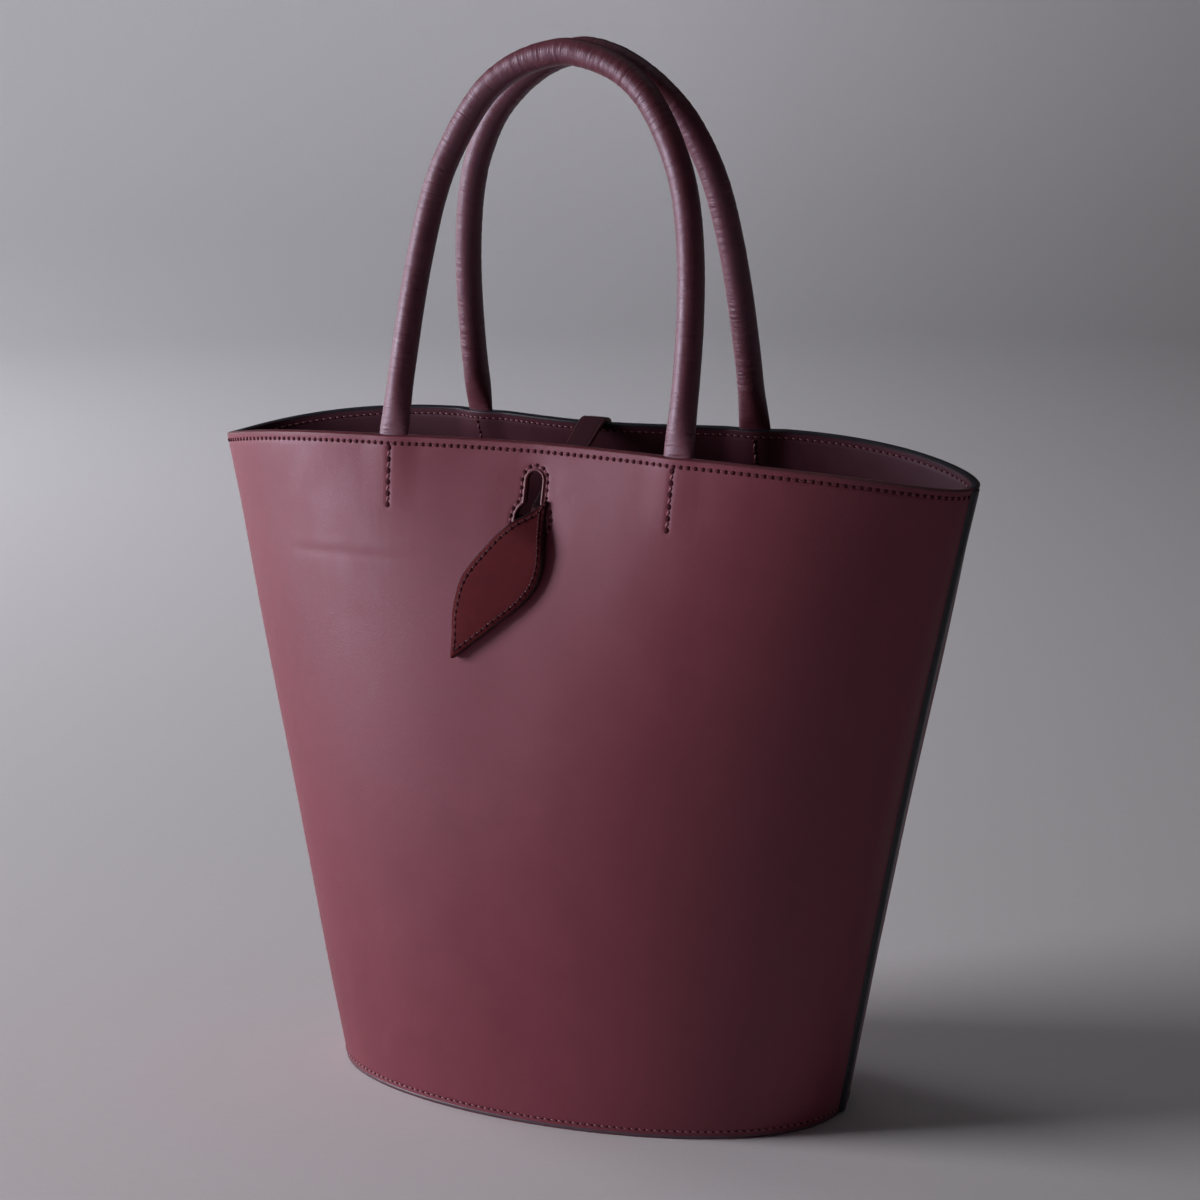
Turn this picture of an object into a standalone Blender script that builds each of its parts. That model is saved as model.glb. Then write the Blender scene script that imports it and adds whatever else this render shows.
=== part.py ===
"""A leather bucket tote that stands open: two outer panels joined by side seams, a deep facing
behind each rim, an oval base tray, two rolled handles and a strap that ends in a leaf.

Units are metres, +Z is up. The origin is the middle of the base on the floor, the width runs
along X and the front faces -Y. Run it with: blender --background --python part.py
"""

import math
from collections import namedtuple

import bmesh
import bpy
from mathutils import Vector

# Body
BODY_HEIGHT = 0.2688  # rim above the floor, at the middle of each panel
RIM_DROP = 0.0120  # how much lower the rim is at the side seams
MOUTH_HALF_WIDTH = 0.1650
BASE_HALF_WIDTH = 0.1095
BASE_HALF_DEPTH = 0.0628
MOUTH_FRONT_DEPTH = 0.0589  # from the side seams to the front, before the pinch
MOUTH_BACK_DEPTH = 0.0438
MOUTH_SHIFT = -0.0046  # the side seams lean forward by this much at the rim
MOUTH_TWIST = 0.0044  # the right seam stands this much further forward, the left one back
FRONT_TILT = 0.0033  # the front stands out more at its right end by this much, less at its left
BACK_TILT = 0.0008
SIDE_BOW = 0.0017  # the side seams bow inwards at half height
BELLY = 0.0075  # the panels stand out by this much at half height
FRONT_PINCH = 0.0184  # the strap draws the middle of each rim inwards
BACK_PINCH = 0.0254
FRONT_PINCH_WIDTH = 0.44  # as a share of the half width
BACK_PINCH_WIDTH = 0.374

# Leather
PANEL_WALL = 0.0018
FACING_WALL = 0.0012
FACING_DEPTH = 0.0450
BASE_WALL = 0.0018
BASE_FLANGE = 0.0090  # height of the turned-up edge of the base
BASE_CORNER = 0.0014  # the bend between the base and its edge
CLEARANCE = 0.0003  # between pieces that lie on each other
TAB_CLEARANCE = 0.0005  # on each side of a handle's hidden end

# Handles
HANDLE_DIAMETER = 0.0105
HANDLE_SPREAD = 0.0628  # along the rim, from its middle to each handle end
HANDLE_RISE = 0.1510  # along the leaning plane of the handle, from the rim to its middle
HANDLE_ROUNDING = 0.14  # the share of the rise in which the foot becomes round
FRONT_LEAN = math.radians(12.5)
BACK_LEAN = math.radians(9.2)
TAB_LENGTH = 0.0240  # hidden end of a handle, between the panel and the facing
TAB_WIDTH = 0.0104
FOOT_WIDTH = 0.0126  # where the handle enters the rim
PANEL_BULGE = 0.0008  # the panel stands out over a handle end
FACING_BULGE = 0.0030  # the facing stands in behind it
BULGE_HALF_WIDTH = 0.0145
BULGE_LENGTH = 0.0320

# Keyhole
KEYHOLE_SHIFT = 0.0028  # to the right of the middle
KEYHOLE_TOP = 0.0100  # below the rim
SLOT_WIDTH = 0.0072
SLOT_LENGTH = 0.0120  # from the top to where the slot begins to widen
HOLE_RADIUS = 0.0080
HOLE_DEPTH = 0.0295  # centre of the wide end, below the rim
HOLE_START = math.radians(40)  # where the slot's right side meets the wide end
HOLE_SWEEP = math.radians(260)  # the open arc of the wide end

# Closing strap and leaf
STRAP_WIDTH = 0.0105
STRAP_WALL = 0.0026
STRAP_NECK = 0.0074  # its width in the keyhole
STRAP_CLEARANCE = 0.0006  # where it lies on the back panel and the rim
STRAP_ANCHOR = 0.0380  # lower end on the outside of the back panel, below the rim
STRAP_BACK_X = -0.0020
STRAP_FRONT_X = 0.0042
NECK_DEPTH = 0.0262  # where it passes the front panel, below the rim
LEAF_LENGTH = 0.0655
LEAF_WIDTH = 0.0295
LEAF_HANG = math.radians(27.5)  # the leaf hangs to the left of straight down
LEAF_STAND_TOP = 0.0062  # the leaf's middle layer in front of the panel
LEAF_STAND_TIP = 0.0030
LEAF_NECK_STAND = 0.72  # the neck stands out by this share of LEAF_STAND_TOP
LEAF_NECK_LENGTH = 0.08  # the share of the leaf in which it comes out to its full stand

# Each row is one level of the body. Sizes go from the base's to the mouth's by toward_mouth,
# belly and pinch are shares of the sizes of that name, and the bluntness columns shape the
# ends of each half of the section: 1 is an ellipse, less is fuller, more is sharper.
Level = namedtuple("Level", "height toward_mouth belly pinch front_bluntness back_bluntness")
LEVELS = (
    Level(0.00, 0.00, 0.00, 0.00, 0.893, 0.893),
    Level(0.25, 0.25, 0.75, 0.00, 0.891, 0.796),
    Level(0.50, 0.50, 1.00, 0.08, 0.921, 0.730),
    Level(0.75, 0.75, 0.75, 0.41, 0.984, 0.698),
    Level(1.00, 1.00, 0.00, 1.00, 1.079, 0.698),
)

# Each row is one level of a handle, from its foot to its middle: rise is a share of
# HANDLE_RISE and spread a share of half the distance between the feet.
Arch = namedtuple("Arch", "rise spread")
ARCH = (
    Arch(0.00, 1.000),
    Arch(0.21, 0.993),
    Arch(0.42, 0.962),
    Arch(0.62, 0.888),
    Arch(0.75, 0.778),
    Arch(0.86, 0.610),
    Arch(0.95, 0.355),
    Arch(0.99, 0.150),
    Arch(1.00, 0.000),
)

# Each row is one station of the leaf: along is a share of LEAF_LENGTH, left and right are the
# edges' distances from the line between neck and tip, as shares of LEAF_WIDTH.
Blade = namedtuple("Blade", "along left right")
LEAF = (
    Blade(0.00, 0.10, 0.17),
    Blade(0.05, 0.12, 0.28),
    Blade(0.12, 0.18, 0.42),
    Blade(0.23, 0.29, 0.57),
    Blade(0.34, 0.37, 0.62),
    Blade(0.45, 0.42, 0.59),
    Blade(0.55, 0.44, 0.51),
    Blade(0.66, 0.39, 0.39),
    Blade(0.77, 0.30, 0.28),
    Blade(0.88, 0.15, 0.15),
    Blade(1.00, 0.02, 0.02),
)

# Columns of a panel: shares of half the rim's length from its middle to a side seam, and
# distances to each side of a handle end, in shares of BULGE_HALF_WIDTH. Rows are shares of the
# height, and near the rim shares of BULGE_LENGTH below it.
MIDDLE_COLUMNS = (0.0, 0.05, 0.11, 0.17, 0.22)
HANDLE_COLUMNS = (-1.0, -0.58, -0.29, 0.0, 0.29, 0.58, 1.0)
OUTER_COLUMNS = (0.46, 0.53, 0.61, 0.69, 0.77, 0.84, 0.89, 0.93, 0.96, 0.983, 0.995)
LOW_ROWS = (0.0, 0.10, 0.22, 0.36, 0.50, 0.64, 0.75)
BULGE_ROWS = (1.0, 0.70, 0.35, 0.0)
OUTLINE_STEPS = 120
SEAM_CROWDING = 0.42  # how far the outline's points crowd towards the side seams
BASE_SIDES = 30  # along each half of the oval
SLOT_SIDES = 6
HOLE_SIDES = 12
HANDLE_SIDES = 12

# Stations along the handles, the strap and the leaf, as shares of the length named.
TAB_STATIONS = (1.0, 0.70, 0.40, 0.15)  # of TAB_LENGTH, below the rim
LEG_STATIONS = (
    0.0, 0.035, 0.08, 0.14, 0.21, 0.30, 0.40, 0.50, 0.60, 0.69, 0.77, 0.84, 0.90, 0.945, 0.975, 0.993,
)  # of HANDLE_RISE
ANCHOR_STATIONS = (1.0, 0.66, 0.33, 0.10)  # of STRAP_ANCHOR, below the rim
CROWN_TURNS = (0, 35, 70, 105, 135)  # degrees round the back rim
CROSSING_STATIONS = (0.12, 0.28, 0.45, 0.62, 0.78, 0.90, 1.0)  # of the way from rim to keyhole
LEAF_STATIONS = (0.03, 0.08, 0.15, 0.23, 0.32, 0.41, 0.50, 0.59, 0.68, 0.77, 0.86, 0.94, 1.0)

FRONT = -1
BACK = 1


def smooth_row(rows, value):
    """The table's row at a value of its first column, on a smooth curve through the rows."""
    index = 0
    while index < len(rows) - 2 and value > rows[index + 1][0]:
        index += 1
    before = rows[max(index - 1, 0)]
    low = rows[index]
    high = rows[index + 1]
    after = rows[min(index + 2, len(rows) - 1)]
    span = high[0] - low[0]
    share = (value - low[0]) / span
    result = [value]
    for column in range(1, len(low)):
        slope_low = (high[column] - before[column]) / (high[0] - before[0])
        slope_high = (after[column] - low[column]) / (after[0] - low[0])
        a = 2 * share**3 - 3 * share**2 + 1
        b = share**3 - 2 * share**2 + share
        c = 3 * share**2 - 2 * share**3
        d = share**3 - share**2
        ends = a * low[column] + c * high[column]
        result.append(ends + span * (b * slope_low + d * slope_high))
    return type(low)(*result)


def rim_height(across):
    """Height of the rim where the section has gone this share of its half width across."""
    return BODY_HEIGHT - RIM_DROP * (0.1 * across**2 + 0.9 * across**4)


def section_point(side, angle, level):
    """A point of the body's outer surface: angle 0 is the right seam and pi the left one."""
    across = math.cos(angle)
    go = level.toward_mouth
    half_width = BASE_HALF_WIDTH + (MOUTH_HALF_WIDTH - BASE_HALF_WIDTH) * go
    half_width -= SIDE_BOW * level.belly
    tilt = FRONT_TILT if side == FRONT else BACK_TILT
    mouth_depth = (MOUTH_FRONT_DEPTH if side == FRONT else MOUTH_BACK_DEPTH) + tilt * across
    depth = BASE_HALF_DEPTH + (mouth_depth - BASE_HALF_DEPTH) * go + BELLY * level.belly
    bluntness = level.front_bluntness if side == FRONT else level.back_bluntness
    pinch = FRONT_PINCH if side == FRONT else BACK_PINCH
    pinch_width = FRONT_PINCH_WIDTH if side == FRONT else BACK_PINCH_WIDTH
    drawn_in = pinch * level.pinch * math.exp(-((across / pinch_width) ** 2))
    middle = (MOUTH_SHIFT - MOUTH_TWIST * across) * go
    y = middle + side * (depth * math.sin(angle) ** bluntness - drawn_in)
    return Vector((half_width * across, y, level.height * rim_height(across)))


def outline(side, height):
    """Points of one half of the section at a share of the height, left seam to right seam."""
    level = smooth_row(LEVELS, min(max(height, 0.0), 1.0))
    points = []
    for step in range(OUTLINE_STEPS + 1):
        turn = math.pi * (1 - step / OUTLINE_STEPS)
        eased = turn - SEAM_CROWDING * math.sin(2 * turn)
        points.append(section_point(side, min(max(eased, 0.0), math.pi), level))
    return points


def lengths_along(points):
    """The distance of each point from the first, along them all."""
    total = [0.0]
    for first, second in zip(points, points[1:]):
        total.append(total[-1] + (second - first).length)
    return total


def on_outline(points, lengths, along, side):
    """The place and the outward normal at a share from -1, left seam, to 1, right seam."""
    target = lengths[-1] * (along + 1) / 2
    index = 0
    while index < len(lengths) - 2 and target > lengths[index + 1]:
        index += 1
    low = points[index]
    high = points[index + 1]
    share = (target - lengths[index]) / (lengths[index + 1] - lengths[index])
    seam_way = Vector((0.0, -side, 0.0))

    def tangent_at(corner):
        if corner == 0:
            return -seam_way
        if corner == len(points) - 1:
            return seam_way
        way = points[corner + 1] - points[corner - 1]
        return Vector((way.x, way.y, 0.0)).normalized()

    tangent = tangent_at(index).lerp(tangent_at(index + 1), share)
    normal = Vector((-tangent.y, tangent.x, 0.0)).normalized() * side
    return low.lerp(high, share), normal


class Wall:
    """The outer surface of one panel, with the bulges over the handle ends."""

    def __init__(self, side):
        self.side = side
        self.known = {}
        self.rim_length = lengths_along(outline(side, 1.0))[-1]
        self.handle_share = 2 * HANDLE_SPREAD / self.rim_length

    def bulge(self, along, height):
        """0 away from the handle ends, 1 over one at the rim."""
        aside = (abs(along) - self.handle_share) * self.rim_length / 2 / BULGE_HALF_WIDTH
        below = (1 - height) * BODY_HEIGHT / BULGE_LENGTH
        if abs(aside) >= 1 or below >= 1:
            return 0.0
        return math.cos(math.pi / 2 * aside) ** 2 * (1 - below**2)

    def point(self, along, height, inset=0.0):
        """A point at a share along and a share of the height, this far inside the surface."""
        if height not in self.known:
            points = outline(self.side, height)
            self.known[height] = (points, lengths_along(points))
        points, lengths = self.known[height]
        place, normal = on_outline(points, lengths, along, self.side)
        return place - normal * inset

    def outward(self, along, height):
        """The direction straight out of the surface."""
        return (self.point(along, height) - self.point(along, height, 1.0)).normalized()

    def panel_point(self, along, height):
        return self.point(along, height, -PANEL_BULGE * self.bulge(along, height))

    def facing_point(self, along, height):
        inset = PANEL_WALL + CLEARANCE + FACING_BULGE * self.bulge(along, height)
        return self.point(along, height, inset)

    def share_at_x(self, x, height):
        """The share along the section where it crosses this x."""
        low = -1.0
        high = 1.0
        for _ in range(30):
            middle = (low + high) / 2
            if self.point(middle, height).x < x:
                low = middle
            else:
                high = middle
        return (low + high) / 2


def below_rim(depth):
    """The share of the height that lies this far below the rim."""
    return 1 - depth / BODY_HEIGHT


def clear_scene():
    for thing in list(bpy.data.objects):
        bpy.data.objects.remove(thing, do_unlink=True)


def new_collection(name):
    collection = bpy.data.collections.new(name)
    bpy.context.scene.collection.children.link(collection)
    return collection


def leather(name, colour, roughness):
    """A leather finish from a linear colour."""
    material = bpy.data.materials.new(name)
    material.use_nodes = True
    shader = material.node_tree.nodes["Principled BSDF"]
    shader.inputs["Base Color"].default_value = (*colour, 1.0)
    shader.inputs["Roughness"].default_value = roughness
    shader.inputs["Metallic"].default_value = 0.0
    return material


def object_from(mesh_data, name, collection, material):
    """A finished object from a bmesh, with smooth faces and sharp corners."""
    bmesh.ops.recalc_face_normals(mesh_data, faces=mesh_data.faces)
    mesh = bpy.data.meshes.new(name)
    mesh_data.to_mesh(mesh)
    mesh_data.free()
    mesh.shade_smooth()
    mesh.set_sharp_from_angle(angle=math.radians(40))
    thing = bpy.data.objects.new(name, mesh)
    thing.data.materials.append(material)
    collection.objects.link(thing)
    return thing


def sheet_grid(point_at, columns, rows, side):
    """An open sheet through point_at(column, row), its faces turned to the outside."""
    mesh_data = bmesh.new()
    grid = [[mesh_data.verts.new(point_at(column, row)) for column in columns] for row in rows]
    for low, high in zip(grid, grid[1:]):
        for index in range(len(columns) - 1):
            corners = (low[index], low[index + 1], high[index + 1], high[index])
            mesh_data.faces.new(corners if side == FRONT else corners[::-1])
    return mesh_data


def loft_rings(rings, closed_ends=True):
    """A tube through rings of equal point counts."""
    mesh_data = bmesh.new()
    loops = [[mesh_data.verts.new(point) for point in ring] for ring in rings]
    count = len(loops[0])
    for low, high in zip(loops, loops[1:]):
        for index in range(count):
            after = (index + 1) % count
            mesh_data.faces.new((low[index], low[after], high[after], high[index]))
    if closed_ends:
        mesh_data.faces.new(loops[0])
        mesh_data.faces.new(loops[-1])
    return mesh_data


def thicken(thing, thickness):
    """Gives a sheet its thickness on its inner side."""
    solid = thing.modifiers.new("thickness", "SOLIDIFY")
    solid.thickness = thickness
    solid.offset = -1.0
    solid.use_even_offset = True
    solid.use_rim = True


def panel_columns(wall):
    """Shares from seam to seam, closer together over the handle ends."""
    reach = 2 * BULGE_HALF_WIDTH / wall.rim_length
    handle = [wall.handle_share + reach * aside for aside in HANDLE_COLUMNS]
    inner = [share for share in MIDDLE_COLUMNS if share < handle[0]]
    outer = [share for share in OUTER_COLUMNS if share > handle[-1]]
    seam = 1 - CLEARANCE / wall.rim_length
    half = inner + handle + outer + [seam]
    return [-share for share in reversed(half[1:])] + half


def cut_keyhole(thing, cutter):
    """Cuts the keyhole through one layer of the front wall."""
    cut = thing.modifiers.new("keyhole", "BOOLEAN")
    cut.operation = "DIFFERENCE"
    cut.solver = "EXACT"
    cut.object = cutter


def build_keyhole_cutter(wall, collection, material):
    """A slot with a round top that widens to a round hole, pressed through the front wall."""
    top = BODY_HEIGHT - KEYHOLE_TOP
    slot_end = top - SLOT_LENGTH
    hole_centre = BODY_HEIGHT - HOLE_DEPTH
    radius = SLOT_WIDTH / 2
    shape = [(-radius, slot_end)]
    for step in range(SLOT_SIDES + 1):
        turn = math.pi * (1 - step / SLOT_SIDES)
        shape.append((radius * math.cos(turn), top - radius + radius * math.sin(turn)))
    shape.append((radius, slot_end))
    for step in range(HOLE_SIDES + 1):
        turn = HOLE_START - HOLE_SWEEP * step / HOLE_SIDES
        shape.append((HOLE_RADIUS * math.cos(turn), hole_centre + HOLE_RADIUS * math.sin(turn)))
    front = wall.point(0.0, below_rim(HOLE_DEPTH)).y - FRONT_PINCH
    back = wall.point(0.0, 1.0).y + FRONT_PINCH
    rings = [[Vector((KEYHOLE_SHIFT + x, y, z)) for x, z in shape] for y in (front, back)]
    cutter = object_from(loft_rings(rings), "keyhole_cutter", collection, material)
    cutter.hide_render = True
    cutter.display_type = "WIRE"
    return cutter


def bulge_rows():
    """Heights of the rows that pass over the handle ends, up to the rim."""
    return [below_rim(share * BULGE_LENGTH) for share in BULGE_ROWS]


def build_panel(name, wall, collection, material):
    """One outer panel, from the floor to the rim and from side seam to side seam."""
    rows = [*LOW_ROWS, below_rim(FACING_DEPTH), *bulge_rows()]
    sheet = sheet_grid(wall.panel_point, panel_columns(wall), rows, wall.side)
    panel = object_from(sheet, name, collection, material)
    thicken(panel, PANEL_WALL)
    return panel


def build_facing(name, wall, collection, material):
    """The inner leather band behind a rim, stitched to the panel and around the handle ends."""
    rows = [below_rim(FACING_DEPTH), *bulge_rows()]
    sheet = sheet_grid(wall.facing_point, panel_columns(wall), rows, wall.side)
    facing = object_from(sheet, name, collection, material)
    thicken(facing, FACING_WALL)
    return facing


def build_base(walls, collection, material):
    """The oval base: a flat floor with a low edge turned up inside the panels."""
    inset = PANEL_WALL + CLEARANCE

    def oval(extra, z):
        height = z / BODY_HEIGHT
        ring = []
        for side, order in ((FRONT, 1), (BACK, -1)):
            for step in range(BASE_SIDES):
                share = order * (2 * step / BASE_SIDES - 1)
                place = walls[side].point(share, height, inset + extra)
                ring.append(Vector((place.x, place.y, z)))
        return ring

    rings = [oval(0.0, BASE_FLANGE), oval(0.0, BASE_CORNER), oval(BASE_CORNER, 0.0)]
    tray = loft_rings(rings, closed_ends=False)
    tray.verts.ensure_lookup_table()
    tray.faces.new(tray.verts[-2 * BASE_SIDES:])
    bmesh.ops.recalc_face_normals(tray, faces=tray.faces)
    base = object_from(tray, "base_panel", collection, material)
    if base.data.polygons[-1].normal.z > 0:
        base.data.flip_normals()
    thicken(base, BASE_WALL)
    return base


def tab_stations(wall, sign):
    """The flat hidden end of a handle, from its lower end up to the rim."""
    stations = []
    for share in TAB_STATIONS:
        height = below_rim(share * TAB_LENGTH)
        swell = wall.bulge(wall.handle_share, height)
        inset = PANEL_WALL + CLEARANCE / 2 + (FACING_BULGE - PANEL_BULGE) * swell / 2
        wide = TAB_WIDTH + (FOOT_WIDTH - TAB_WIDTH) * (1 - share)
        thick = CLEARANCE + (PANEL_BULGE + FACING_BULGE) * swell - 2 * TAB_CLEARANCE
        place = wall.point(sign * wall.handle_share, height, inset)
        outward = wall.outward(sign * wall.handle_share, height)
        stations.append((place, outward, wide, thick))
    return stations


def handle_route(wall, lean):
    """Stations from the left tab to the right one: centre, outward direction, width, thickness."""
    foot_inset = PANEL_WALL + CLEARANCE / 2 + (FACING_BULGE - PANEL_BULGE) / 2
    foot_wall = CLEARANCE + PANEL_BULGE + FACING_BULGE - 2 * TAB_CLEARANCE
    left_foot = wall.point(-wall.handle_share, 1.0, foot_inset)
    right_foot = wall.point(wall.handle_share, 1.0, foot_inset)
    middle = (left_foot + right_foot) / 2
    half_spread = (right_foot - left_foot) / 2
    up = Vector((0.0, -wall.side * math.sin(lean), math.cos(lean)))
    away = Vector((0.0, wall.side * math.cos(lean), math.sin(lean)))

    def leg_stations(sign):
        at_foot = wall.outward(sign * wall.handle_share, 1.0)
        stations = []
        for rise in LEG_STATIONS:
            grown = min(rise / HANDLE_ROUNDING, 1.0)
            eased = grown * grown * (3 - 2 * grown)
            wide = FOOT_WIDTH + (HANDLE_DIAMETER - FOOT_WIDTH) * eased
            thick = foot_wall + (HANDLE_DIAMETER - foot_wall) * math.sqrt(grown)
            place = middle + half_spread * sign * smooth_row(ARCH, rise).spread + up * rise * HANDLE_RISE
            stations.append((place, at_foot.lerp(away, eased), wide, thick))
        return stations

    left = tab_stations(wall, -1) + leg_stations(-1)
    top = [(middle + up * HANDLE_RISE, away, HANDLE_DIAMETER, HANDLE_DIAMETER)]
    right = tab_stations(wall, 1) + leg_stations(1)
    return left + top + right[::-1]


def build_handle(name, wall, lean, collection, material):
    """A rolled handle: round above the rim, flattened to a tab between panel and facing."""
    stations = handle_route(wall, lean)
    centres = [station[0] for station in stations]
    rings = []
    for index, (place, outward, wide, thick) in enumerate(stations):
        ahead = centres[min(index + 1, len(centres) - 1)]
        behind = centres[max(index - 1, 0)]
        tangent = (ahead - behind).normalized()
        outward = (outward - tangent * outward.dot(tangent)).normalized()
        across = tangent.cross(outward)
        ring = []
        for step in range(HANDLE_SIDES):
            turn = 2 * math.pi * (step + 0.5) / HANDLE_SIDES
            aside = across * math.cos(turn) * wide / 2
            ring.append(place + aside + outward * math.sin(turn) * thick / 2)
        rings.append(ring)
    return object_from(loft_rings(rings), name, collection, material)


def strap_route(walls):
    """Stations of the strap: centre, width direction, left and right half widths."""
    back = walls[BACK]
    front = walls[FRONT]
    half = STRAP_WIDTH / 2
    neck = STRAP_NECK / 2
    rest = STRAP_CLEARANCE + STRAP_WALL / 2
    layers = PANEL_WALL + CLEARANCE + FACING_WALL
    back_share = back.share_at_x(STRAP_BACK_X, 1.0)
    backward = back.outward(back_share, 1.0)
    side_way = Vector((backward.y, -backward.x, 0.0))
    stations = []
    for share in ANCHOR_STATIONS:
        place = back.point(back_share, below_rim(share * STRAP_ANCHOR), -rest)
        stations.append((place, side_way, half, half))
    crown = back.point(back_share, 1.0, layers / 2)
    bend = layers / 2 + rest
    for turn in CROWN_TURNS:
        swing = math.radians(turn)
        shift = backward * math.cos(swing) * bend + Vector((0.0, 0.0, math.sin(swing) * rest))
        stations.append((crown + shift, side_way, half, half))
    start = stations[-1][0]
    neck_height = below_rim(NECK_DEPTH)
    neck_share = front.share_at_x(STRAP_FRONT_X, neck_height)
    passing = front.point(neck_share, neck_height, layers / 2)
    for share in CROSSING_STATIONS:
        narrowing = half + (neck - half) * share
        turned = side_way.lerp(Vector((1.0, 0.0, 0.0)), share)
        stations.append((start.lerp(passing, share), turned, narrowing, narrowing))
    return stations, passing


def leaf_route(walls, passing):
    """Stations of the leaf, which turns down in front of the panel and hangs to the left."""
    front = walls[FRONT]
    down = Vector((-math.sin(LEAF_HANG), 0.0, -math.cos(LEAF_HANG)))
    side_way = Vector((math.cos(LEAF_HANG), 0.0, -math.sin(LEAF_HANG)))
    stations = []
    for along in LEAF_STATIONS:
        blade = smooth_row(LEAF, along)
        flat = passing + down * along * LEAF_LENGTH
        height = flat.z / BODY_HEIGHT
        surface = front.point(front.share_at_x(flat.x, height), height)
        out = min(along / LEAF_NECK_LENGTH, 1.0)
        stand = LEAF_STAND_TOP + (LEAF_STAND_TIP - LEAF_STAND_TOP) * along
        stand *= LEAF_NECK_STAND + (1 - LEAF_NECK_STAND) * out
        centre = Vector((flat.x, surface.y - stand, flat.z))
        stations.append((centre, side_way, blade.left * LEAF_WIDTH, blade.right * LEAF_WIDTH))
    return stations


def build_strap(walls, collection, material):
    """The closing strap and its leaf, two layers of leather sewn together and cut as one."""
    stations, passing = strap_route(walls)
    stations = stations + leaf_route(walls, passing)
    centres = [station[0] for station in stations]
    rings = []
    for index, (place, side_way, left, right) in enumerate(stations):
        ahead = centres[min(index + 1, len(centres) - 1)]
        behind = centres[max(index - 1, 0)]
        tangent = (ahead - behind).normalized()
        across = (side_way - tangent * side_way.dot(tangent)).normalized()
        facing = across.cross(tangent) * STRAP_WALL / 2
        low = place - across * left
        high = place + across * right
        rings.append([low - facing, high - facing, high + facing, low + facing])
    return object_from(loft_rings(rings), "closure_strap", collection, material)


def build_tote():
    """Clears the scene and builds every piece in its collection."""
    clear_scene()
    parts = new_collection("tote_bag")
    cutters = new_collection("cutters")
    outer = leather("burgundy_outer_leather", (0.115, 0.028, 0.036), 0.48)
    inner = leather("plum_facing_leather", (0.085, 0.024, 0.034), 0.55)
    trim = leather("burgundy_trim_leather", (0.125, 0.024, 0.030), 0.52)
    walls = {side: Wall(side) for side in (FRONT, BACK)}
    cutter = build_keyhole_cutter(walls[FRONT], cutters, outer)
    front_panel = build_panel("front_panel", walls[FRONT], parts, outer)
    front_facing = build_facing("front_facing", walls[FRONT], parts, inner)
    cut_keyhole(front_panel, cutter)
    cut_keyhole(front_facing, cutter)
    build_panel("back_panel", walls[BACK], parts, outer)
    build_facing("back_facing", walls[BACK], parts, inner)
    build_base(walls, parts, inner)
    build_handle("front_handle", walls[FRONT], FRONT_LEAN, parts, trim)
    build_handle("back_handle", walls[BACK], BACK_LEAN, parts, trim)
    build_strap(walls, parts, trim)


build_tote()
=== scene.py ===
"""The looks of a burgundy leather bucket tote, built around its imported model: sewn leather
walls, painted edges, rolled handles, a strap that ends in a leaf, all the stitching, and the
soft window light that the bag stands in. Metres, +Z is up and the front faces -Y."""

import math
from collections import namedtuple

import bmesh
import bpy
from mathutils import Matrix, Vector, noise


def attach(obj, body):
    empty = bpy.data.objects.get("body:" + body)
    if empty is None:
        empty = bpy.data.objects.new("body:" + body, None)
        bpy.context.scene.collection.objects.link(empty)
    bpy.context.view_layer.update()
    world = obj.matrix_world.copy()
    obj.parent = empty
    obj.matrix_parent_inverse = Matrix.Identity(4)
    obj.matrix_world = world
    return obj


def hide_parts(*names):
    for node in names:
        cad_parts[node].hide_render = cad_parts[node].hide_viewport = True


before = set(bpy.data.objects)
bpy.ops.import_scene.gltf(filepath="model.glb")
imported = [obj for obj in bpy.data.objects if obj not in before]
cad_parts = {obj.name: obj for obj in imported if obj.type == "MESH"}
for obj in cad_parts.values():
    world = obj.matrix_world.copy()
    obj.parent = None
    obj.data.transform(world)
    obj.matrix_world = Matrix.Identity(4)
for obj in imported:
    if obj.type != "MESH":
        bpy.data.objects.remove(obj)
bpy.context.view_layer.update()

MM = 0.001
FRONT = -1
BACK = 1
SIDES = ((FRONT, "front"), (BACK, "back"))
UP = Vector((0.0, 0.0, 1.0))

# Body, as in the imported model
BODY_HEIGHT = 268.8 * MM
RIM_DROP = 12.0 * MM
MOUTH_HALF_WIDTH = 165.0 * MM
BASE_HALF_WIDTH = 109.5 * MM
BASE_HALF_DEPTH = 62.8 * MM
MOUTH_DEPTH = {FRONT: 58.9 * MM, BACK: 43.8 * MM}
TILT = {FRONT: 3.3 * MM, BACK: 0.8 * MM}
PINCH = {FRONT: 18.4 * MM, BACK: 25.4 * MM}
PINCH_WIDTH = {FRONT: 0.44, BACK: 0.374}
MOUTH_SHIFT = -4.6 * MM
MOUTH_TWIST = 4.4 * MM
SIDE_BOW = 1.7 * MM
BELLY = 7.5 * MM
SEAM_CROWDING = 0.42
OUTLINE_STEPS = 160

# Leather
PANEL_WALL = 1.8 * MM
FACING_WALL = 1.2 * MM
FACING_DEPTH = 45.0 * MM
BASE_WALL = 1.8 * MM
BASE_FLANGE = 9.0 * MM
BASE_CORNER = 1.4 * MM
CLEARANCE = 0.3 * MM
TAB_CLEARANCE = 0.5 * MM

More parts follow.
